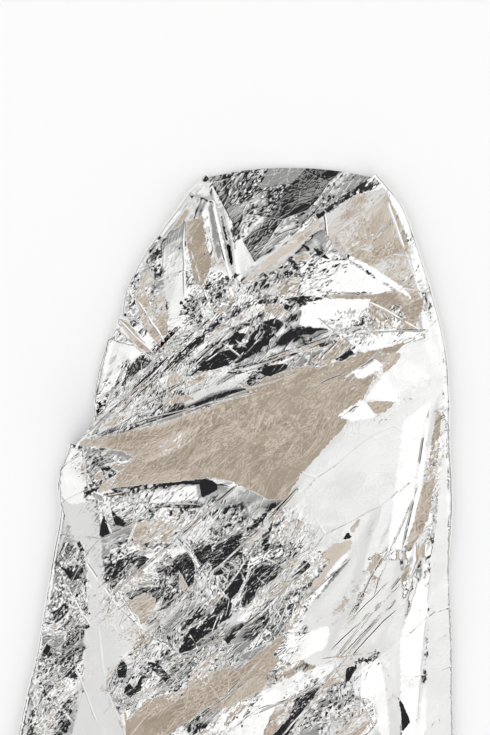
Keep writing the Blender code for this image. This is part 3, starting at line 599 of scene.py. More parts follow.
# The cards are mottled: evenly lit overhead, less and less even toward the floor.
MOTTLE_OVERHEAD = 0.09
MOTTLE_LOW = 0.60
MOTTLE_RUN = (14, 50)  # from one to the other between these angles from straight up, degrees
MOTTLE_NOISE = (9.0, 4.0)  # its scale for each unit of the direction
FLOOR_SIZE = 12.0      # metres
FLOOR_LEVEL = -0.0005  # just below the film that rests on it


# ---------------------------------------------------------------- settings a user would change

class FoilSheetSizes(bpy.types.PropertyGroup):
    """Sizes of the cut and of how it lies."""
    cut_length: bpy.props.FloatProperty(
        name="Cut Length", description="Side of the cut that goes round the wrap", default=2.10,
        unit="LENGTH")
    cut_drop: bpy.props.FloatProperty(
        name="Cut Drop", description="Side of the cut from collar to hem", default=1.30, unit="LENGTH")
    film: bpy.props.FloatProperty(
        name="Film", description="Thickness that the frame's solid gives the film", default=0.0012,
        unit="LENGTH")
    layer_gap: bpy.props.FloatProperty(
        name="Layer Gap", description="Height between one lying layer and the next", default=0.005,
        unit="LENGTH")
    crumpling: bpy.props.FloatProperty(
        name="Crumpling", description="Strength of the crumpled facets in the mesh", default=1.0,
        min=0.0, soft_max=2.0)


class FoilFinish(bpy.types.PropertyGroup):
    """Colour and gloss of the film."""
    silver: bpy.props.FloatVectorProperty(
        name="Silver", description="Colour of the metallised film", default=(0.94, 0.94, 0.935),
        subtype="COLOR", size=3)
    dulled: bpy.props.FloatVectorProperty(
        name="Dulled", description="Colour of the film where it is rubbed",
        default=(0.90, 0.895, 0.885), subtype="COLOR", size=3)
    roughness: bpy.props.FloatProperty(
        name="Roughness", description="Blur of the film's mirror", default=0.05, min=0.0, max=1.0)
    glint: bpy.props.FloatProperty(
        name="Glint", description="Tilt of the small facets that only the shading shows", default=1.0,
        min=0.0, soft_max=2.0)


class FoilStudio(bpy.types.PropertyGroup):
    """Floor, light and camera."""
    floor_colour: bpy.props.FloatVectorProperty(
        name="Floor", description="Colour of the pale floor", default=(0.92, 0.92, 0.92),
        subtype="COLOR", size=3)
    light: bpy.props.FloatProperty(
        name="Light", description="Strength of the even studio light", default=1.06, min=0.0)
    camera_height: bpy.props.FloatProperty(
        name="Camera Height", description="Height of the camera above the floor", default=SEEN_FROM,
        unit="LENGTH")
    view_height: bpy.props.FloatProperty(
        name="View Height", description="Plan length of the blanket that the camera takes in",
        default=0.93345, unit="LENGTH")


# ---------------------------------------------------------------- shape of the laid sheet

INNER_COLUMNS = 66
BACK_COLUMNS = 52
OUTER_COLUMNS = 180
TUCK_COLUMNS = 8
ARC_COLUMNS = 8
UPPER_ROWS = 214
LOWER_ROWS = 80
UPPER_SHARE = 0.62     # part of the drop the upper rows cover
INNER_CROWDING = 2.2   # above 1 crowds the inner flap's columns toward its fold, where it shows

FOLD_BULGE = 0.003     # least plan bulge of a folded-over edge
FOLD_SWELL = 0.32      # extra bulge for each metre of height the edge climbs
FOLD_FULLNESS = 0.8    # below 1 squares the folded-over edge off, above 1 points it
OUTER_RISE = 0.003     # least extra height of the outer flap
INNER_RISE = 0.004     # least extra height of the inner flap where it shows
CREST_ROUND = 0.04     # rounding of a fold's crest, as a share of its width
FOOT_ROUND = 0.06      # rounding of a fold's foot, as a share of its width
TUCK_RAMP = (20, 95)   # the back comes down off the tuck this far beyond it, millimetres
INNER_SHOWS = (-0.20, -0.08)  # the inner flap's folds rise between these values of y + INNER_LEAN * x
INNER_LEAN = 0.55
RIGHT_PRESS = 0.35     # share of the outer flap's relief left at the right fold
LEFT_PRESS = 0.25      # and at the left outer fold
RIGHT_LOOSE = 0.16     # the outer flap is loose from this share of the way across
LEFT_LOOSE = 0.86      # to this share
FLAT_FIELD = (0.26, 0.62)  # half width and half length of the field that lies flat on the floor, metres
FLAT_FIELD_POWER = 0.8     # below 1 the field's sides run hollow between its four points
LIFT = 0.002           # height the film stands off the floor outside the field, metres
LIFT_RUN = 0.2         # it is reached this share of the field's size further out
BACK_RUN = 2           # the back's place among the wrap's runs, after the inner flap and its turn
EDGE_CALM = 0.03       # share of a run, next to a folded-over edge, where the crumpling dies out
NECK_POINT = (-11, 95)   # lowest point of the neck opening, millimetres
NECK_LEFT = (-45, 241)   # its corner on the inner flap's collar edge
NECK_RIGHT = (161, 241)  # its corner on the outer flap's
NECK_CALM = 0.030      # the back's crumpling in the opening dies out this near to the flaps, metres
NECK_CRUMPLE = 0.5     # strength of the crumpling in the opening
UNDERSIDE_CRUMPLE = 0.25  # strength of the fine crumpling where the film lies under a flap
CRUMPLED_EDGE = (1.25, 0.75)  # a crumpled field sets in and is full at these shares of its size
WARP = 0.30            # how far the mesh facets' lattice is bent out of regularity, in facets
WARP_SCALE = 0.5       # soft hills that bend it, for each facet
WARP_APART = 31        # distance on the hills between the two directions' bends

# Bend of each run's collar edge and hem edge off the straight line, metres: (x, y) at mid-run.
INNER_TOP_BEND = (-0.016, 0.012)
BACK_TOP_BEND = (0.0, 0.012)
BACK_HEM_BEND = (0.0, -0.020)
OUTER_TOP_BEND = (-0.012, 0.018)
OUTER_HEM_BEND = (0.0, -0.030)
TUCK_HEM_BEND = (0.0, -0.010)
NO_BEND = (0.0, 0.0)


def smooth_step(start, end, value):
    """0 before start, 1 after end, with an even run between."""
    share = np.clip((value - start) / (end - start), 0.0, 1.0)
    return share * share * (3.0 - 2.0 * share)


def through_three(values, share):
    """Even run through a start, a middle and an end value."""
    start, middle, end = values
    return (start * (1 - share) * (1 - 2 * share) + middle * 4 * share * (1 - share)
            + end * share * (2 * share - 1))


def edge_curve(table, down):
    """Plan points of a smooth edge through a table's rows, at distances down the cut."""
    rows = np.array(table, dtype=float) * MM
    key, point = rows[:, 0], rows[:, 1:]
    step = np.diff(key)[:, None]
    rate = np.diff(point, axis=0) / step
    slope = np.empty_like(point)
    slope[0], slope[-1] = rate[0], rate[-1]
    slope[1:-1] = (rate[1:] * step[:-1] + rate[:-1] * step[1:]) / (step[:-1] + step[1:])
    index = np.clip(np.searchsorted(key, down, side="right") - 1, 0, len(key) - 2)
    span = step[index]
    s = ((down - key[index]) / span[:, 0])[:, None]
    return ((2 * s**3 - 3 * s**2 + 1) * point[index] + (s**3 - 2 * s**2 + s) * span * slope[index]
            + (3 * s**2 - 2 * s**3) * point[index + 1] + (s**3 - s**2) * span * slope[index + 1])


def fold_height(x, y, row):
    """Height one fold adds at plan points: two flat sides falling from a crest, run out at its ends."""
    _, start, end, left, right, heights, tapers, bow = row
    ax, ay, bx, by = (value * MM for value in (*start, *end))
    length = np.hypot(bx - ax, by - ay)
    ex, ey = (bx - ax) / length, (by - ay) / length
    along = (x - ax) * ex + (y - ay) * ey
    share = np.clip(along / length, 0.0, 1.0)
    across = (y - ay) * ex - (x - ax) * ey - bow * MM * 4 * share * (1 - share)
    width = np.where(across > 0, through_three(left, share), through_three(right, share)) * MM
    reach = across / width
    side = np.clip(1 - (np.sqrt(reach**2 + CREST_ROUND**2) - CREST_ROUND), 0.0, 1.0)
    side = np.where(side < FOOT_ROUND, side**2 / (2 * FOOT_ROUND), side - FOOT_ROUND / 2)
    ends = (np.clip(along / MM / tapers[0] + 0.5, 0.0, 1.0)
            * np.clip((length - along) / MM / tapers[1] + 0.5, 0.0, 1.0))
    return through_three(heights, share) * MM * side * ends


def relief(x, y, table):
    """Height a table of folds adds at plan points."""
    return sum(fold_height(x, y, row) for row in table)


def foot_turned(x, y):
    """Places in millimetres, with those in the foot turned to the places above that they repeat."""
    foot = y < FOOT_START
    return np.where(foot, FOOT_TURN[0] - x, x), np.where(foot, FOOT_TURN[1] - y, y)


def long_crease_height(x, y):
    """Height of the long straight creases at plan points: the ridges only, as a valley has no room."""
    nearer = MM * (1 - CREASE_LEVEL / SEEN_FROM)
    x, y = foot_turned(x / nearer, y / nearer)
    height = np.zeros_like(x)
    for start, end, half_width, slope in LONG_CREASES:
        if slope > 0:
            wide, high = (half_width + CREASE_FOOT,) * 3, (slope * CREASE_RISE,) * 3
            ridge = ("ridge", start, end, wide, wide, high, (CREASE_TAPER,) * 2, 0)
            height = np.maximum(height, fold_height(x * MM, y * MM, ridge))
    return height


def over_tuck(x, y):
    """1 where the back lies on the tuck, 0 where it lies on the floor."""
    (_, collar_x, collar_y), (_, hem_x, hem_y) = TUCK_FREE_EDGE[0], TUCK_FREE_EDGE[-1]
    _, fold_x, fold_y = LEFT_OUTER_FOLD[0]
    x, y = x / MM, y / MM
    past_free = x - collar_x - (hem_x - collar_x) / (hem_y - collar_y) * (y - collar_y)
    past_collar = y - fold_y - (collar_y - fold_y) / (collar_x - fold_x) * (x - fold_x)
    near, far = TUCK_RAMP
    return smooth_step(far, near, past_free) * smooth_step(far, near, past_collar)


def past_line(x, y, start, end):
    """Distance of plan points to the left of a line that runs from start to end (millimetres)."""
    ax, ay, bx, by = (value * MM for value in (*start, *end))
    length = np.hypot(bx - ax, by - ay)
    return ((y - ay) * (bx - ax) - (x - ax) * (by - ay)) / length


def neck_opening(x, y):
    """1 in the opening between the two flaps' collar edges, where the back shows, 0 under the flaps."""
    beside_inner = -past_line(x, y, NECK_POINT, NECK_LEFT)
    beside_outer = past_line(x, y, NECK_POINT, NECK_RIGHT)
    return smooth_step(0.0, NECK_CALM, beside_inner) * smooth_step(0.0, NECK_CALM, beside_outer)


def crumpled(x, y):
    """Strength of the crumpling at plan points: 0 on a smooth panel, 1 where it is full."""
    strength = np.zeros_like(x)
    for _, centre, half_length, half_width, angle, most in CRUMPLED:
        c, s = math.cos(math.radians(angle)), math.sin(math.radians(angle))
        dx, dy = x / MM - centre[0], y / MM - centre[1]
        reach = np.hypot((dx * c + dy * s) / half_length, (dy * c - dx * s) / half_width)
        strength = np.maximum(strength, most * smooth_step(*CRUMPLED_EDGE, reach))
    return strength


def rim_lift(x, y):
    """Height the film stands off the floor at points of the laid blanket."""
    half_width, half_length = FLAT_FIELD
    reach = np.abs(x / half_width)**FLAT_FIELD_POWER + np.abs(y / half_length)**FLAT_FIELD_POWER
    return LIFT * np.clip((reach**(1 / FLAT_FIELD_POWER) - 1) / LIFT_RUN, 0.0, 1.0)


def inside_panel(x, y, corners):
    """Distance of points to a panel's edge in millimetres, more than 0 inside it."""
    nearest = np.full_like(x, np.inf)
    inside = np.zeros(x.shape, dtype=bool)
    for (ax, ay), (bx, by) in zip(corners, corners[1:] + corners[:1]):
        ex, ey = bx - ax, by - ay
        share = np.clip(((x - ax) * ex + (y - ay) * ey) / (ex * ex + ey * ey), 0.0, 1.0)
        nearest = np.minimum(nearest, np.hypot(x - ax - share * ex, y - ay - share * ey))
        if ay != by:
            inside ^= ((ay > y) != (by > y)) & (x < ex * (y - ay) / (by - ay) + ax)
    return np.where(inside, nearest, -nearest)


def tone_fields(place):
    """Where points of the wrap are seen and how far inside each tone's panels they are, in millimetres."""
    nearer = MM * (1 - place[..., 2] / SEEN_FROM)
    x, y = foot_turned(place[..., 0] / nearer, place[..., 1] / nearer)
    fields = {"seen": np.stack((x, y, np.ones_like(x)), axis=-1)}
    for tone, *_, most, _, _ in TONES:
        field = np.full_like(x, -PANEL_REACH)
        for corners in PANELS.get(tone, {}).values():
            field = np.maximum(field, inside_panel(x, y, corners))
        fields[tone] = np.clip(field, -PANEL_REACH, most)
    return fields


class Lattice:
    """Random heights on a plane, always the same for one seed."""

    def __init__(self, seed):
        draw = np.random.default_rng(seed)
        self.order = draw.permutation(256)
        self.height = draw.random(256) * 2 - 1

    def corner(self, i, j):
        """Height at one point of the lattice."""
        return self.height[self.order[(i + self.order[j & 255]) & 255]]

    def facets(self, x, y):
        """Flat triangles between random heights."""
        u, v = x + y / math.sqrt(3), y * 2 / math.sqrt(3)
        i, j = np.floor(u).astype(int), np.floor(v).astype(int)
        fu, fv = u - i, v - j
        low = fu + fv < 1
        first = np.where(low, self.corner(i, j), self.corner(i + 1, j + 1))
        return (first * np.where(low, 1 - fu - fv, fu + fv - 1)
                + self.corner(i + 1, j) * np.where(low, fu, 1 - fv)
                + self.corner(i, j + 1) * np.where(low, fv, 1 - fu))

    def swell(self, x, y):
        """Soft hills between random heights."""
        i, j = np.floor(x).astype(int), np.floor(y).astype(int)
        fx, fy = x - i, y - j
        fx, fy = fx * fx * (3 - 2 * fx), fy * fy * (3 - 2 * fy)
        near = self.corner(i, j) * (1 - fx) + self.corner(i + 1, j) * fx
        far = self.corner(i, j + 1) * (1 - fx) + self.corner(i + 1, j + 1) * fx
        return near * (1 - fy) + far * fy


def pinch_height(x, y, row):
    """Height of the creases that radiate from one pinched point: shards that widen and run out."""
    _, centre, (first, last), creases, reach, height = row
    dx, dy = x / MM - centre[0], y / MM - centre[1]
    away = np.hypot(dx, dy) / reach
    turn = (np.degrees(np.arctan2(dy, dx)) - first) % 360.0 / (last - first)
    waves = sum(np.sin(wave * turn + at) for wave, at in zip(PINCH_WAVES, centre))
    shard = np.abs(2 * (((turn + PINCH_UNEVEN / creases * waves) * creases) % 1.0) - 1)
    sides = smooth_step(0.0, PINCH_SIDE, turn) * smooth_step(1.0, 1.0 - PINCH_SIDE, turn)
    out = np.clip(away / PINCH_PEAK, 0.0, 1.0) * smooth_step(1.0, PINCH_PEAK, away)
    return height * MM * shard * sides * out


def facet_field(x, y, size, stretch, angle, seed):
    """Facets of about one size, longer along one direction, from -1 to 1."""
    c, s = math.cos(math.radians(angle)), math.sin(math.radians(angle))
    u, v = (x * c + y * s) / (size * stretch), (y * c - x * s) / size
    bend_u = Lattice(seed + 1).swell(WARP_SCALE * u, WARP_SCALE * v)
    bend_v = Lattice(seed + 3).swell(WARP_SCALE * u + WARP_APART, WARP_SCALE * v)
    return Lattice(seed).facets(u + WARP * bend_u, v + WARP * bend_v)


def crumple_height(x, y, strength):
    """Height the mesh's facets add at plan points: folded upward everywhere, so layers never meet."""
    height = np.zeros_like(x)
    for size, least, most, stretch, angle, seed in FACETS:
        deep = (least + (most - least) * strength) * MM
        height += deep * np.abs(facet_field(x, y, size * MM, stretch, angle, seed))
    for row in PINCHES:
        height += pinch_height(x, y, row)
    return height + long_crease_height(x, y)


class LaidSheet:
    """Every point of the cut on its place in the lying wrap."""

    def __init__(self, sizes):
        self.gap = sizes.layer_gap
        self.floor = sizes.film / 2
        self.crumpling = sizes.crumpling
        upper = np.linspace(0.0, UPPER_SHARE, UPPER_ROWS, endpoint=False)
        lower = np.linspace(UPPER_SHARE, 1.0, LOWER_ROWS + 1)
        self.share = np.concatenate((upper, lower))
        self.down = sizes.cut_drop * self.share

    def back_height(self, x, y):
        """The back lies on the tuck and on the floor."""
        return self.floor + self.gap * over_tuck(x, y)

    def inner_height(self, x, y, calm):
        """The inner flap's folds fade out where the outer flap covers it."""
        shows = smooth_step(*INNER_SHOWS, y + INNER_LEAN * x)
        folds = INNER_RISE + relief(x, y, INNER_FOLDS + INNER_CREASES)
        crumple = calm * self.crumpling * crumple_height(x, y, crumpled(x, y))
        return self.back_height(x, y) + self.gap + shows * (folds + crumple)

    def outer_height(self, x, y, across):
        """The outer flap's folds press lower toward the two folded edges."""
        right = RIGHT_PRESS + (1 - RIGHT_PRESS) * smooth_step(0.0, RIGHT_LOOSE, across)
        left = 1 - (1 - LEFT_PRESS) * smooth_step(LEFT_LOOSE, 1.0, across)
        folds = np.minimum(right, left) * (OUTER_RISE + relief(x, y, OUTER_FOLDS + OUTER_CREASES))
        crumple = edge_calm(across) * self.crumpling * crumple_height(x, y, crumpled(x, y))
        return self.inner_height(x, y, 1.0) + self.gap + folds + crumple

    def spread(self, edge_from, edge_to, across, top_bend, hem_bend):
        """Plan points of a run between two edges."""
        across = across[:, None] * np.ones_like(self.share)[None, :]
        hump = 4 * across * (1 - across)
        plan = []
        for axis in (0, 1):
            bend = (1 - self.share)**3 * top_bend[axis] + self.share**3 * hem_bend[axis]
            plan.append(edge_from[:, axis] * (1 - across) + edge_to[:, axis] * across + hump * bend)
        return plan[0], plan[1], across

    def fold_over(self, edge, height_from, height_to, side):
        """Columns of a folded-over edge: out from the edge and round from one height to the other."""
        turn = np.linspace(0.0, 1.0, ARC_COLUMNS + 1)[1:-1, None]
        travel = np.gradient(edge, axis=0)
        out = np.stack((-travel[:, 1], travel[:, 0]), axis=1) * side
        out /= np.linalg.norm(out, axis=1)[:, None]
        swell = FOLD_BULGE + FOLD_SWELL * np.abs(height_to - height_from)
        bulge = swell * np.sin(np.pi * turn)**FOLD_FULLNESS
        height = height_from + (height_to - height_from) * (1 - np.cos(np.pi * turn)) / 2
        return edge[:, 0] + out[:, 0] * bulge, edge[:, 1] + out[:, 1] * bulge, height

    def runs(self):
        """The wrap's runs and turns from the inner flap to the tuck: x, y and z by column and row."""
        right, left_outer, left_inner, inner_free, tuck_free = (
            edge_curve(table, self.down)
            for table in (RIGHT_FOLD, LEFT_OUTER_FOLD, LEFT_INNER_FOLD, INNER_FREE_EDGE, TUCK_FREE_EDGE)
        )
        back_even, outer_even, tuck_even = (
            np.linspace(0.0, 1.0, columns + 1) for columns in (BACK_COLUMNS, OUTER_COLUMNS, TUCK_COLUMNS)
        )
        crowded = 1 - np.linspace(1.0, 0.0, INNER_COLUMNS + 1)**INNER_CROWDING
        ix, iy, inner_across = self.spread(inner_free, left_inner, crowded, INNER_TOP_BEND, NO_BEND)
        bx, by, _ = self.spread(left_inner, right, back_even, BACK_TOP_BEND, BACK_HEM_BEND)
        ox, oy, across = self.spread(right, left_outer, outer_even, OUTER_TOP_BEND, OUTER_HEM_BEND)
        tx, ty, _ = self.spread(left_outer, tuck_free, tuck_even, NO_BEND, TUCK_HEM_BEND)
        neck = neck_opening(bx, by)
        crumple = self.crumpling * neck * crumple_height(bx, by, NECK_CRUMPLE * neck)
        inner = (ix, iy, self.inner_height(ix, iy, edge_calm(inner_across)))
        back = (bx, by, self.back_height(bx, by) + crumple)
        outer = (ox, oy, self.outer_height(ox, oy, across))
        tuck = (tx, ty, np.full_like(tx, self.floor))
        left_turn = self.fold_over(left_inner, inner[2][-1], back[2][0], -1)
        right_turn = self.fold_over(right, back[2][-1], outer[2][0], 1)
        tuck_turn = self.fold_over(left_outer, outer[2][-1], tuck[2][0], -1)
        return inner, left_turn, back, right_turn, outer, tuck_turn, tuck

    def points(self):
        """Every point of the lying wrap by column and row, and the fields that its finish reads."""
        runs = self.runs()
        neck = neck_opening(*runs[BACK_RUN][:2])
        crumple = [crumpled(x, y) for x, y, _ in runs]
        crumple[BACK_RUN] = np.maximum(UNDERSIDE_CRUMPLE, NECK_CRUMPLE * neck)
        crumple[-1] = np.full_like(crumple[-1], UNDERSIDE_CRUMPLE)
        place = np.concatenate([np.stack(run, axis=-1) for run in runs])
        fields = {"crumple": np.concatenate(crumple), **tone_fields(place)}
        # In the neck opening the film shows its inside and none of the panels that are in front of it. The
        # inside tone there is painted shade: it leans the opening to mirror a dark grey card, so that it
        # reads as shaded.
        first = sum(len(x) for x, _, _ in runs[:BACK_RUN])
        for tone, *_ in TONES:
            opening = fields[tone][first:first + len(neck)]
            opening[neck > 0] = PANEL_REACH if tone == "inside" else -PANEL_REACH
        place[..., 0] += CHEST[0]
        place[..., 1] += CHEST[1]
        place[..., 2] += rim_lift(place[..., 0], place[..., 1])
        return place, fields


def edge_calm(across):
    """0 at a run's folded-over edge, 1 away from it."""
    return smooth_step(0.0, EDGE_CALM, across) * smooth_step(1.0, 1.0 - EDGE_CALM, across)


def cut_places(place):
    """Place of each grid point on the flat cut, from 0 to 1 both ways, by its length along the film."""
    lengths = np.linalg.norm(np.diff(place, axis=0), axis=-1).mean(axis=1)
    along = np.concatenate(([0.0], np.cumsum(lengths)))
    return along / along[-1]


# ---------------------------------------------------------------- node trees

class Number:
    """A number in a node tree that can stand in a sum."""

    def __init__(self, nodes, socket):
        self.nodes = nodes
        self.socket = socket

    def _sum(self, operation, first, second):
        return self.nodes.number("ShaderNodeMath", {"operation": operation}, {0: first, 1: second})

    def __add__(self, other):
        return self._sum("ADD", self, other)

    __radd__ = __add__

    def __sub__(self, other):
        return self._sum("SUBTRACT", self, other)

    def __rsub__(self, other):
        return self._sum("SUBTRACT", other, self)

    def __mul__(self, other):
        return self._sum("MULTIPLY", self, other)

    __rmul__ = __mul__

    def __abs__(self):
        return self.nodes.number("ShaderNodeMath", {"operation": "ABSOLUTE"}, {0: self})

    def at_most(self, most):
        """The smaller of the number and a limit."""
        return self._sum("MINIMUM", self, most)

    def limited(self, least, most):
        """The number kept between two limits. Map Range's own clamp would fill the renderer's stack."""
        return self._sum("MAXIMUM", self, least).at_most(most)

    def eased(self, start, end, most=1.0):
        """0 before start, most after end, with an even run between."""
        return self.nodes.number("ShaderNodeMapRange", {
            "interpolation_type": "SMOOTHSTEP", "clamp": False}, {
            "Value": self, "From Min": start, "From Max": end, "To Min": 0.0, "To Max": most})


class Nodes:
    """A material's or world's node tree, filled one node at a time."""

    def __init__(self, owner):
        owner.use_nodes = True
        self.tree = owner.node_tree
        self.tree.nodes.clear()

    def node(self, kind, settings=None, sockets=None):
        """Adds one node: its settings first, then its sockets' values or links."""
        made = self.tree.nodes.new(kind)
        for name, value in (settings or {}).items():
            setattr(made, name, value)
        for name, value in (sockets or {}).items():
            value = value.socket if isinstance(value, Number) else value
            if isinstance(value, bpy.types.NodeSocket):
                self.tree.links.new(value, made.inputs[name])
            else:
                made.inputs[name].default_value = value
        return made

    def number(self, kind, settings=None, sockets=None, output=0):
        """Adds one node whose result can stand in a sum."""
        return Number(self, self.node(kind, settings, sockets).outputs[output])

    def vector(self, operation, first, second):
        """One Vector Math node's result."""
        return self.node("ShaderNodeVectorMath", {"operation": operation}, {
            0: first, 1: second}).outputs[0]

    def scaled(self, vector, factor):
        """A vector times a number."""
        return self.node("ShaderNodeVectorMath", {"operation": "SCALE"}, {
            0: vector, "Scale": factor}).outputs[0]

    def dot(self, first, second):
        """Two vectors' dot product."""
        return self.number("ShaderNodeVectorMath", {"operation": "DOT_PRODUCT"}, {
            0: first, 1: second}, output="Value")

    def upward(self, vector):
        """A vector's upward part."""
        return self.number("ShaderNodeSeparateXYZ", {}, {0: vector}, output=2)

    def mixed(self, share, first, second):
        """A vector between two others."""
        return self.node("ShaderNodeMix", {"data_type": "VECTOR"}, {
            "Factor": share, 4: first, 5: second}).outputs[1]

    def mixed_colour(self, share, first, second):
        """A colour between two others."""
        return self.node("ShaderNodeMix", {"data_type": "RGBA"}, {
            "Factor": share, 6: (*first, 1.0) if isinstance(first, tuple) else first,
            7: (*second, 1.0)}).outputs[2]

    def noise(self, place, scale, detail, output="Fac"):
        """Soft noise from 0 to 1, as one number or as a colour."""
        return self.number("ShaderNodeTexNoise", {}, {
            "Vector": place, "Scale": scale, "Detail": detail}, output)

    def swayed(self, vector, place, noise, reach):
        """A vector swayed by the soft noise at a place, up to half of the reach either way."""
        return self.vector("ADD", vector, self.from_middle(self.noise(place, *noise, "Color"), reach))

    def from_middle(self, colour, reach):
        """A random colour as a vector about zero, each part times its reach."""
        return self.vector("MULTIPLY", self.vector("SUBTRACT", colour, (0.5, 0.5, 0.5)), reach)


def direction(azimuth, from_up):
    """Unit vector at an angle from +X and an angle from straight up, degrees."""
    a, e = math.radians(azimuth), math.radians(from_up)
    return math.sin(e) * math.cos(a), math.sin(e) * math.sin(a), math.cos(e)


def turned_pattern(nodes, place, size, stretch, angle, offset):
    """Places for a pattern of about one size, longer along one direction and a little bent."""
    turned = nodes.node("ShaderNodeMapping", {"vector_type": "TEXTURE"}, {
        "Vector": place, "Location": (offset, OFFSET_UP * offset, 0.0),
        "Rotation": (0.0, 0.0, math.radians(angle)),
        "Scale": (size * stretch * MM, size * MM, 1.0)}).outputs[0]
    return nodes.swayed(turned, turned, BEND_NOISE, (GLINT_BEND,) * 3)


def seldom_steep(nodes, tilt):
    """A tilt with most draws made slighter and the few largest kept."""
    return nodes.scaled(tilt, nodes.dot(tilt, tilt) * STEEP_GAIN)


def facet_ridge(nodes, pattern, width):
    """1 on the border between two facets of a pattern, falling to 0 beside it."""
    border = nodes.number("ShaderNodeTexVoronoi", {
        "voronoi_dimensions": "2D", "feature": "DISTANCE_TO_EDGE"}, {"Vector": pattern, "Scale": 1.0})
    return nodes.number("ShaderNodeMapRange", {}, {
        "Value": border, "From Min": 0.0, "From Max": width, "To Min": 1.0, "To Max": 0.0})


def panels_laid(nodes, facing, place, upward):
    """The facing turned by the panels, how free that leaves the small facets, the dark panels' share."""
    ragged = nodes.noise(place, *RAGGED_NOISE) - 0.5
    turn = -AIM_TURN / SEEN_FROM
    aim = nodes.vector("MULTIPLY", nodes.vector("SUBTRACT", place, (*CHEST, 0.0)), (turn, turn, 0.0))
    loose = 1.0
    for tone, azimuth, angle, held, soft, raggedness, _, aimed, free in TONES:
        inside = nodes.number("ShaderNodeAttribute", {"attribute_name": tone}, output="Fac")
        share = (inside + ragged * raggedness).eased(-soft / 2, soft / 2, held) * upward
        lean = direction(azimuth, angle)
        if aimed:
            lean = nodes.vector("ADD", aim, lean)
        facing = nodes.mixed(share, facing, lean)
        loose = loose - (loose - (1 - free)) * share
    return facing, loose, share


def long_crease(nodes, facing, held, seen, shows, row):
    """One long straight crease laid over the facing: each side leans away from the crest line."""
    start, end, half_width, slope = row
    dx, dy = end[0] - start[0], end[1] - start[1]
    length = math.hypot(dx, dy)
    ex, ey = dx / length, dy / length
    along, across = (
        nodes.dot(seen, (px / size, py / size, -(start[0] * px + start[1] * py) / size))
        for (px, py), size in (((ex, ey), length), ((-ey, ex), half_width))
    )
    inside = (along * (1 - along) * CREASE_ENDS).at_most(1.0) - abs(across)
    share = (inside * (CREASE_HELD / CREASE_SIDES)).limited(0.0, CREASE_HELD) * shows
    side = across * (0.5 / CREASE_CREST) + 0.5
    lean = nodes.mixed(side, (ey * slope, -ex * slope, 1.0), (-ey * slope, ex * slope, 1.0))
    highest = nodes.number("ShaderNodeMath", {"operation": "MAXIMUM"}, {0: held, 1: share})
    return nodes.mixed(share, facing, lean), highest


def creases_laid(nodes, facing, place, upward):
    """The film's facing with its long creases over it, and the share of it that they hold."""
    seen = nodes.node("ShaderNodeAttribute", {"attribute_name": "seen"}).outputs["Vector"]
    seen = nodes.swayed(seen, place, WAVE_NOISE, (CREASE_WAVE, CREASE_WAVE, 0.0))
    start, end = CREASE_BREAKS
    whole = (nodes.noise(place, *BREAKS_NOISE) - start) * ((1 - CREASE_FAINT) / (end - start))
    shows = (whole + CREASE_FAINT).limited(CREASE_FAINT, 1.0) * upward
    held = 0.0
    for row in LONG_CREASES:
        facing, held = long_crease(nodes, facing, held, seen, shows, row)
    return facing, held


def facets_laid(nodes, facing, place, swirled, loose, dark):
    """The film's facing tilted by its small facets, and the height of the ridges between them."""
    strength = nodes.number("ShaderNodeAttribute", {"attribute_name": "crumple"}, output="Fac")
    ridged = (strength * (1 - SMOOTH_RIDGES) + SMOOTH_RIDGES) * (1 - dark * DARK_CLEAR)
    size, stretch, angle, width, offset, packet_share = PACKET_CREASES
    packet = turned_pattern(nodes, swirled, size, stretch, angle, offset)
    patches = nodes.noise(place, *PATCH_NOISE).eased(*PACKET_PATCHES)
    ridges = facet_ridge(nodes, packet, width / size) * patches * packet_share
    for row in GLINTS:
        size, stretch, angle, least, most, ridge_share, offset = row
        pattern = turned_pattern(nodes, swirled, size, stretch, angle, offset)
        tilt = (strength * (most - least) + least) * loose
        draw = nodes.node("ShaderNodeTexVoronoi", {"voronoi_dimensions": "2D"}, {
            "Vector": pattern, "Scale": 1.0}).outputs["Color"]
        lean = nodes.from_middle(draw, (1.0, 1.0, 0.0))
        if row is GLINTS[0]:
            third = nodes.upward(draw)
            fine = third * third * FINE_SPREAD + FINE_LEAST
        else:
            lean, tilt = seldom_steep(nodes, lean), tilt * fine
        facing = nodes.vector("ADD", facing, nodes.scaled(lean, tilt))
        if ridge_share:
            ridges = ridges + facet_ridge(nodes, pattern, RIDGE_WIDTH / size) * ridged * ridge_share
    return facing, ridges


def metallised_film(finish):
    """Mirror film, with its panels, long creases and small facets as tilts of the surface."""
    material = bpy.data.materials.new("metallised_film")
    nodes = Nodes(material)
    place = nodes.node("ShaderNodeTexCoord").outputs["Object"]
    swirled = nodes.swayed(place, place, SWIRL_NOISE, (GLINT_SWIRL,) * 3)
    facing = nodes.node("ShaderNodeNewGeometry").outputs["Normal"]
    upward = (nodes.upward(facing) * (1 / FACES_UP)).limited(0.0, 1.0)
    facing, loose, dark = panels_laid(nodes, facing, place, upward)
    facing, held = creases_laid(nodes, facing, place, upward)
    facing = nodes.swayed(facing, swirled, RIPPLE_NOISE, (RIPPLE, RIPPLE, 0.0))
    loose = loose * (1 - held) * finish.glint
    facing, ridges = facets_laid(nodes, facing, place, swirled, loose, dark)
    facing = nodes.node("ShaderNodeVectorMath", {"operation": "NORMALIZE"}, {0: facing}).outputs[0]
    creased = nodes.node("ShaderNodeBump", {}, {
        "Strength": RIDGE_STRENGTH, "Distance": RIDGE_HEIGHT, "Height": ridges,
        "Normal": facing}).outputs[0]
    worn = nodes.noise(place, *WORN_NOISE)
    shader = nodes.node("ShaderNodeBsdfPrincipled", {}, {
        "Base Color": nodes.mixed_colour(worn, tuple(finish.silver), tuple(finish.dulled)),
        "Metallic": 1.0, "Roughness": worn * WORN_BLUR + (finish.roughness - WORN_BLUR / 2),
        "Normal": creased})
    nodes.node("ShaderNodeOutputMaterial", {}, {"Surface": shader.outputs[0]})
    return material


# ---------------------------------------------------------------- operators

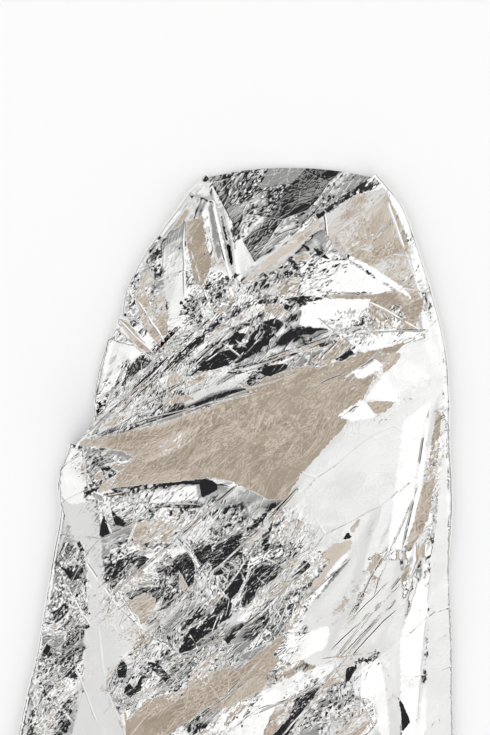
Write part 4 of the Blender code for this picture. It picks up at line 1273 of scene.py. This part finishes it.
def grid_places(mesh, columns, rows):
    """Column and row of each vertex of the flat cut."""
    if len(mesh.vertices) != columns * rows:
        raise RuntimeError("the flat cut does not have the grid that the wrap needs")
    flat = np.empty(columns * rows * 3)
    mesh.vertices.foreach_get("co", flat)
    x, y, _ = flat.reshape(-1, 3).T
    column = np.rint((x + 0.5) * (columns - 1)).astype(int)
    return column, np.rint((0.5 - y) * (rows - 1)).astype(int)


class FOIL_OT_sheet(bpy.types.Operator):
    """Adds the flat cut of film and takes it round the wrap, folded and crumpled"""
    bl_idname = "foil.sheet"
    bl_label = "Foil Sheet"

    def execute(self, context):
        sizes, finish = context.scene.foil_sheet, context.scene.foil_finish
        laid = LaidSheet(sizes)
        place, fields = laid.points()
        columns, rows = place.shape[:2]
        bpy.ops.object.select_all(action="DESELECT")
        bpy.ops.mesh.primitive_grid_add(
            x_subdivisions=columns - 1, y_subdivisions=rows - 1, size=1.0, location=(0.0, 0.0, 0.0))
        sheet = context.object
        sheet.name = "foil_sheet"
        mesh = sheet.data
        column, row = grid_places(mesh, columns, rows)
        mesh.vertices.foreach_set("co", place[column, row].ravel())
        for name, field in fields.items():
            kind, value = ("FLOAT", "value") if field.ndim == 2 else ("FLOAT_VECTOR", "vector")
            mesh.attributes.new(name, kind, "POINT").data.foreach_set(value, field[column, row].ravel())
        corner = np.empty(len(mesh.loops), dtype=int)
        mesh.loops.foreach_get("vertex_index", corner)
        cut = np.stack((cut_places(place)[column[corner]], 1.0 - laid.share[row[corner]]), axis=1)
        mesh.uv_layers[0].data.foreach_set("uv", cut.ravel())
        mesh.materials.append(metallised_film(finish))
        bpy.ops.object.shade_smooth()
        mesh.update()
        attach(sheet, "root")
        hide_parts("foil_blanket")
        return {"FINISHED"}


def plain_floor(colour):
    """Matt paper of the floor."""
    material = bpy.data.materials.new("pale_floor")
    nodes = Nodes(material)
    shader = nodes.node("ShaderNodeBsdfPrincipled", {}, {
        "Base Color": (*colour, 1.0), "Roughness": 1.0})
    nodes.node("ShaderNodeOutputMaterial", {}, {"Surface": shader.outputs[0]})
    return material


def cosine(degrees):
    """How near two directions are that lie this far apart."""
    return math.cos(math.radians(degrees))


def studio_world(light):
    """Even white light, and soft grey, white, tan and black cards that only the film mirrors."""
    world = bpy.data.worlds.new("studio")
    nodes = Nodes(world)
    facing = nodes.node("ShaderNodeTexCoord").outputs["Generated"]
    seen = LOW_GREY
    for _, azimuth, from_up, half, soft, colour in CARDS:
        close = nodes.dot(facing, direction(azimuth, from_up))
        inside = close.eased(cosine(half + soft), cosine(max(half - soft, 0.0)))
        seen = nodes.mixed_colour(inside, seen, colour)
    overhead, low = MOTTLE_RUN
    unevenness = nodes.number("ShaderNodeMapRange", {}, {
        "Value": nodes.upward(facing), "From Min": cosine(overhead), "From Max": cosine(low),
        "To Min": MOTTLE_OVERHEAD, "To Max": MOTTLE_LOW})
    mottle = nodes.noise(facing, *MOTTLE_NOISE)
    mirrored = nodes.node("ShaderNodeBackground", {}, {
        "Color": seen, "Strength": (mottle - 0.5) * unevenness * 2 + 1})
    even = nodes.node("ShaderNodeBackground", {}, {"Color": (1.0, 1.0, 1.0, 1.0), "Strength": light})
    ray = nodes.node("ShaderNodeLightPath").outputs["Is Glossy Ray"]
    mixed = nodes.node("ShaderNodeMixShader", {}, {
        0: ray, 1: even.outputs[0], 2: mirrored.outputs[0]})
    nodes.node("ShaderNodeOutputWorld", {}, {"Surface": mixed.outputs[0]})
    return world


class FOIL_OT_stage(bpy.types.Operator):
    """Adds the pale floor, the studio light and the camera straight above the chest"""
    bl_idname = "foil.stage"
    bl_label = "Studio"

    def execute(self, context):
        studio = context.scene.foil_studio
        bpy.ops.object.select_all(action="DESELECT")
        bpy.ops.mesh.primitive_plane_add(size=FLOOR_SIZE, location=(0.0, 0.0, FLOOR_LEVEL))
        floor = context.object
        floor.name = "floor"
        floor.data.materials.append(plain_floor(studio.floor_colour))
        context.scene.world = studio_world(studio.light)
        context.scene.view_settings.view_transform = "Standard"
        lens = bpy.data.cameras.new("camera")
        camera = bpy.data.objects.new("camera", lens)
        context.scene.collection.objects.link(camera)
        camera.location = (*CHEST, studio.camera_height)
        lens.lens = lens.sensor_width * studio.camera_height / studio.view_height
        context.scene.camera = camera
        return {"FINISHED"}


class FOIL_PT_panel(bpy.types.Panel):
    """Lists the blanket's settings and steps"""
    bl_label = "Foil Blanket"
    bl_idname = "FOIL_PT_panel"
    bl_space_type = "VIEW_3D"
    bl_region_type = "UI"
    bl_category = "Foil Blanket"

    def draw(self, context):
        for settings, step in (
            (context.scene.foil_sheet, "foil.sheet"),
            (context.scene.foil_finish, None),
            (context.scene.foil_studio, "foil.stage"),
        ):
            box = self.layout.box()
            for name in settings.__annotations__:
                box.prop(settings, name)
            if step:
                box.operator(step)


SETTINGS = (("foil_sheet", FoilSheetSizes), ("foil_finish", FoilFinish), ("foil_studio", FoilStudio))
CLASSES = (FoilSheetSizes, FoilFinish, FoilStudio, FOIL_OT_sheet, FOIL_OT_stage, FOIL_PT_panel)


def register():
    for kind in CLASSES:
        bpy.utils.register_class(kind)
    for name, kind in SETTINGS:
        setattr(bpy.types.Scene, name, bpy.props.PointerProperty(type=kind))


def unregister():
    for name, _ in SETTINGS:
        delattr(bpy.types.Scene, name)
    for kind in reversed(CLASSES):
        bpy.utils.unregister_class(kind)


def main():
    register()
    bpy.ops.foil.sheet()
    bpy.ops.foil.stage()


if __name__ == "__main__":
    main()
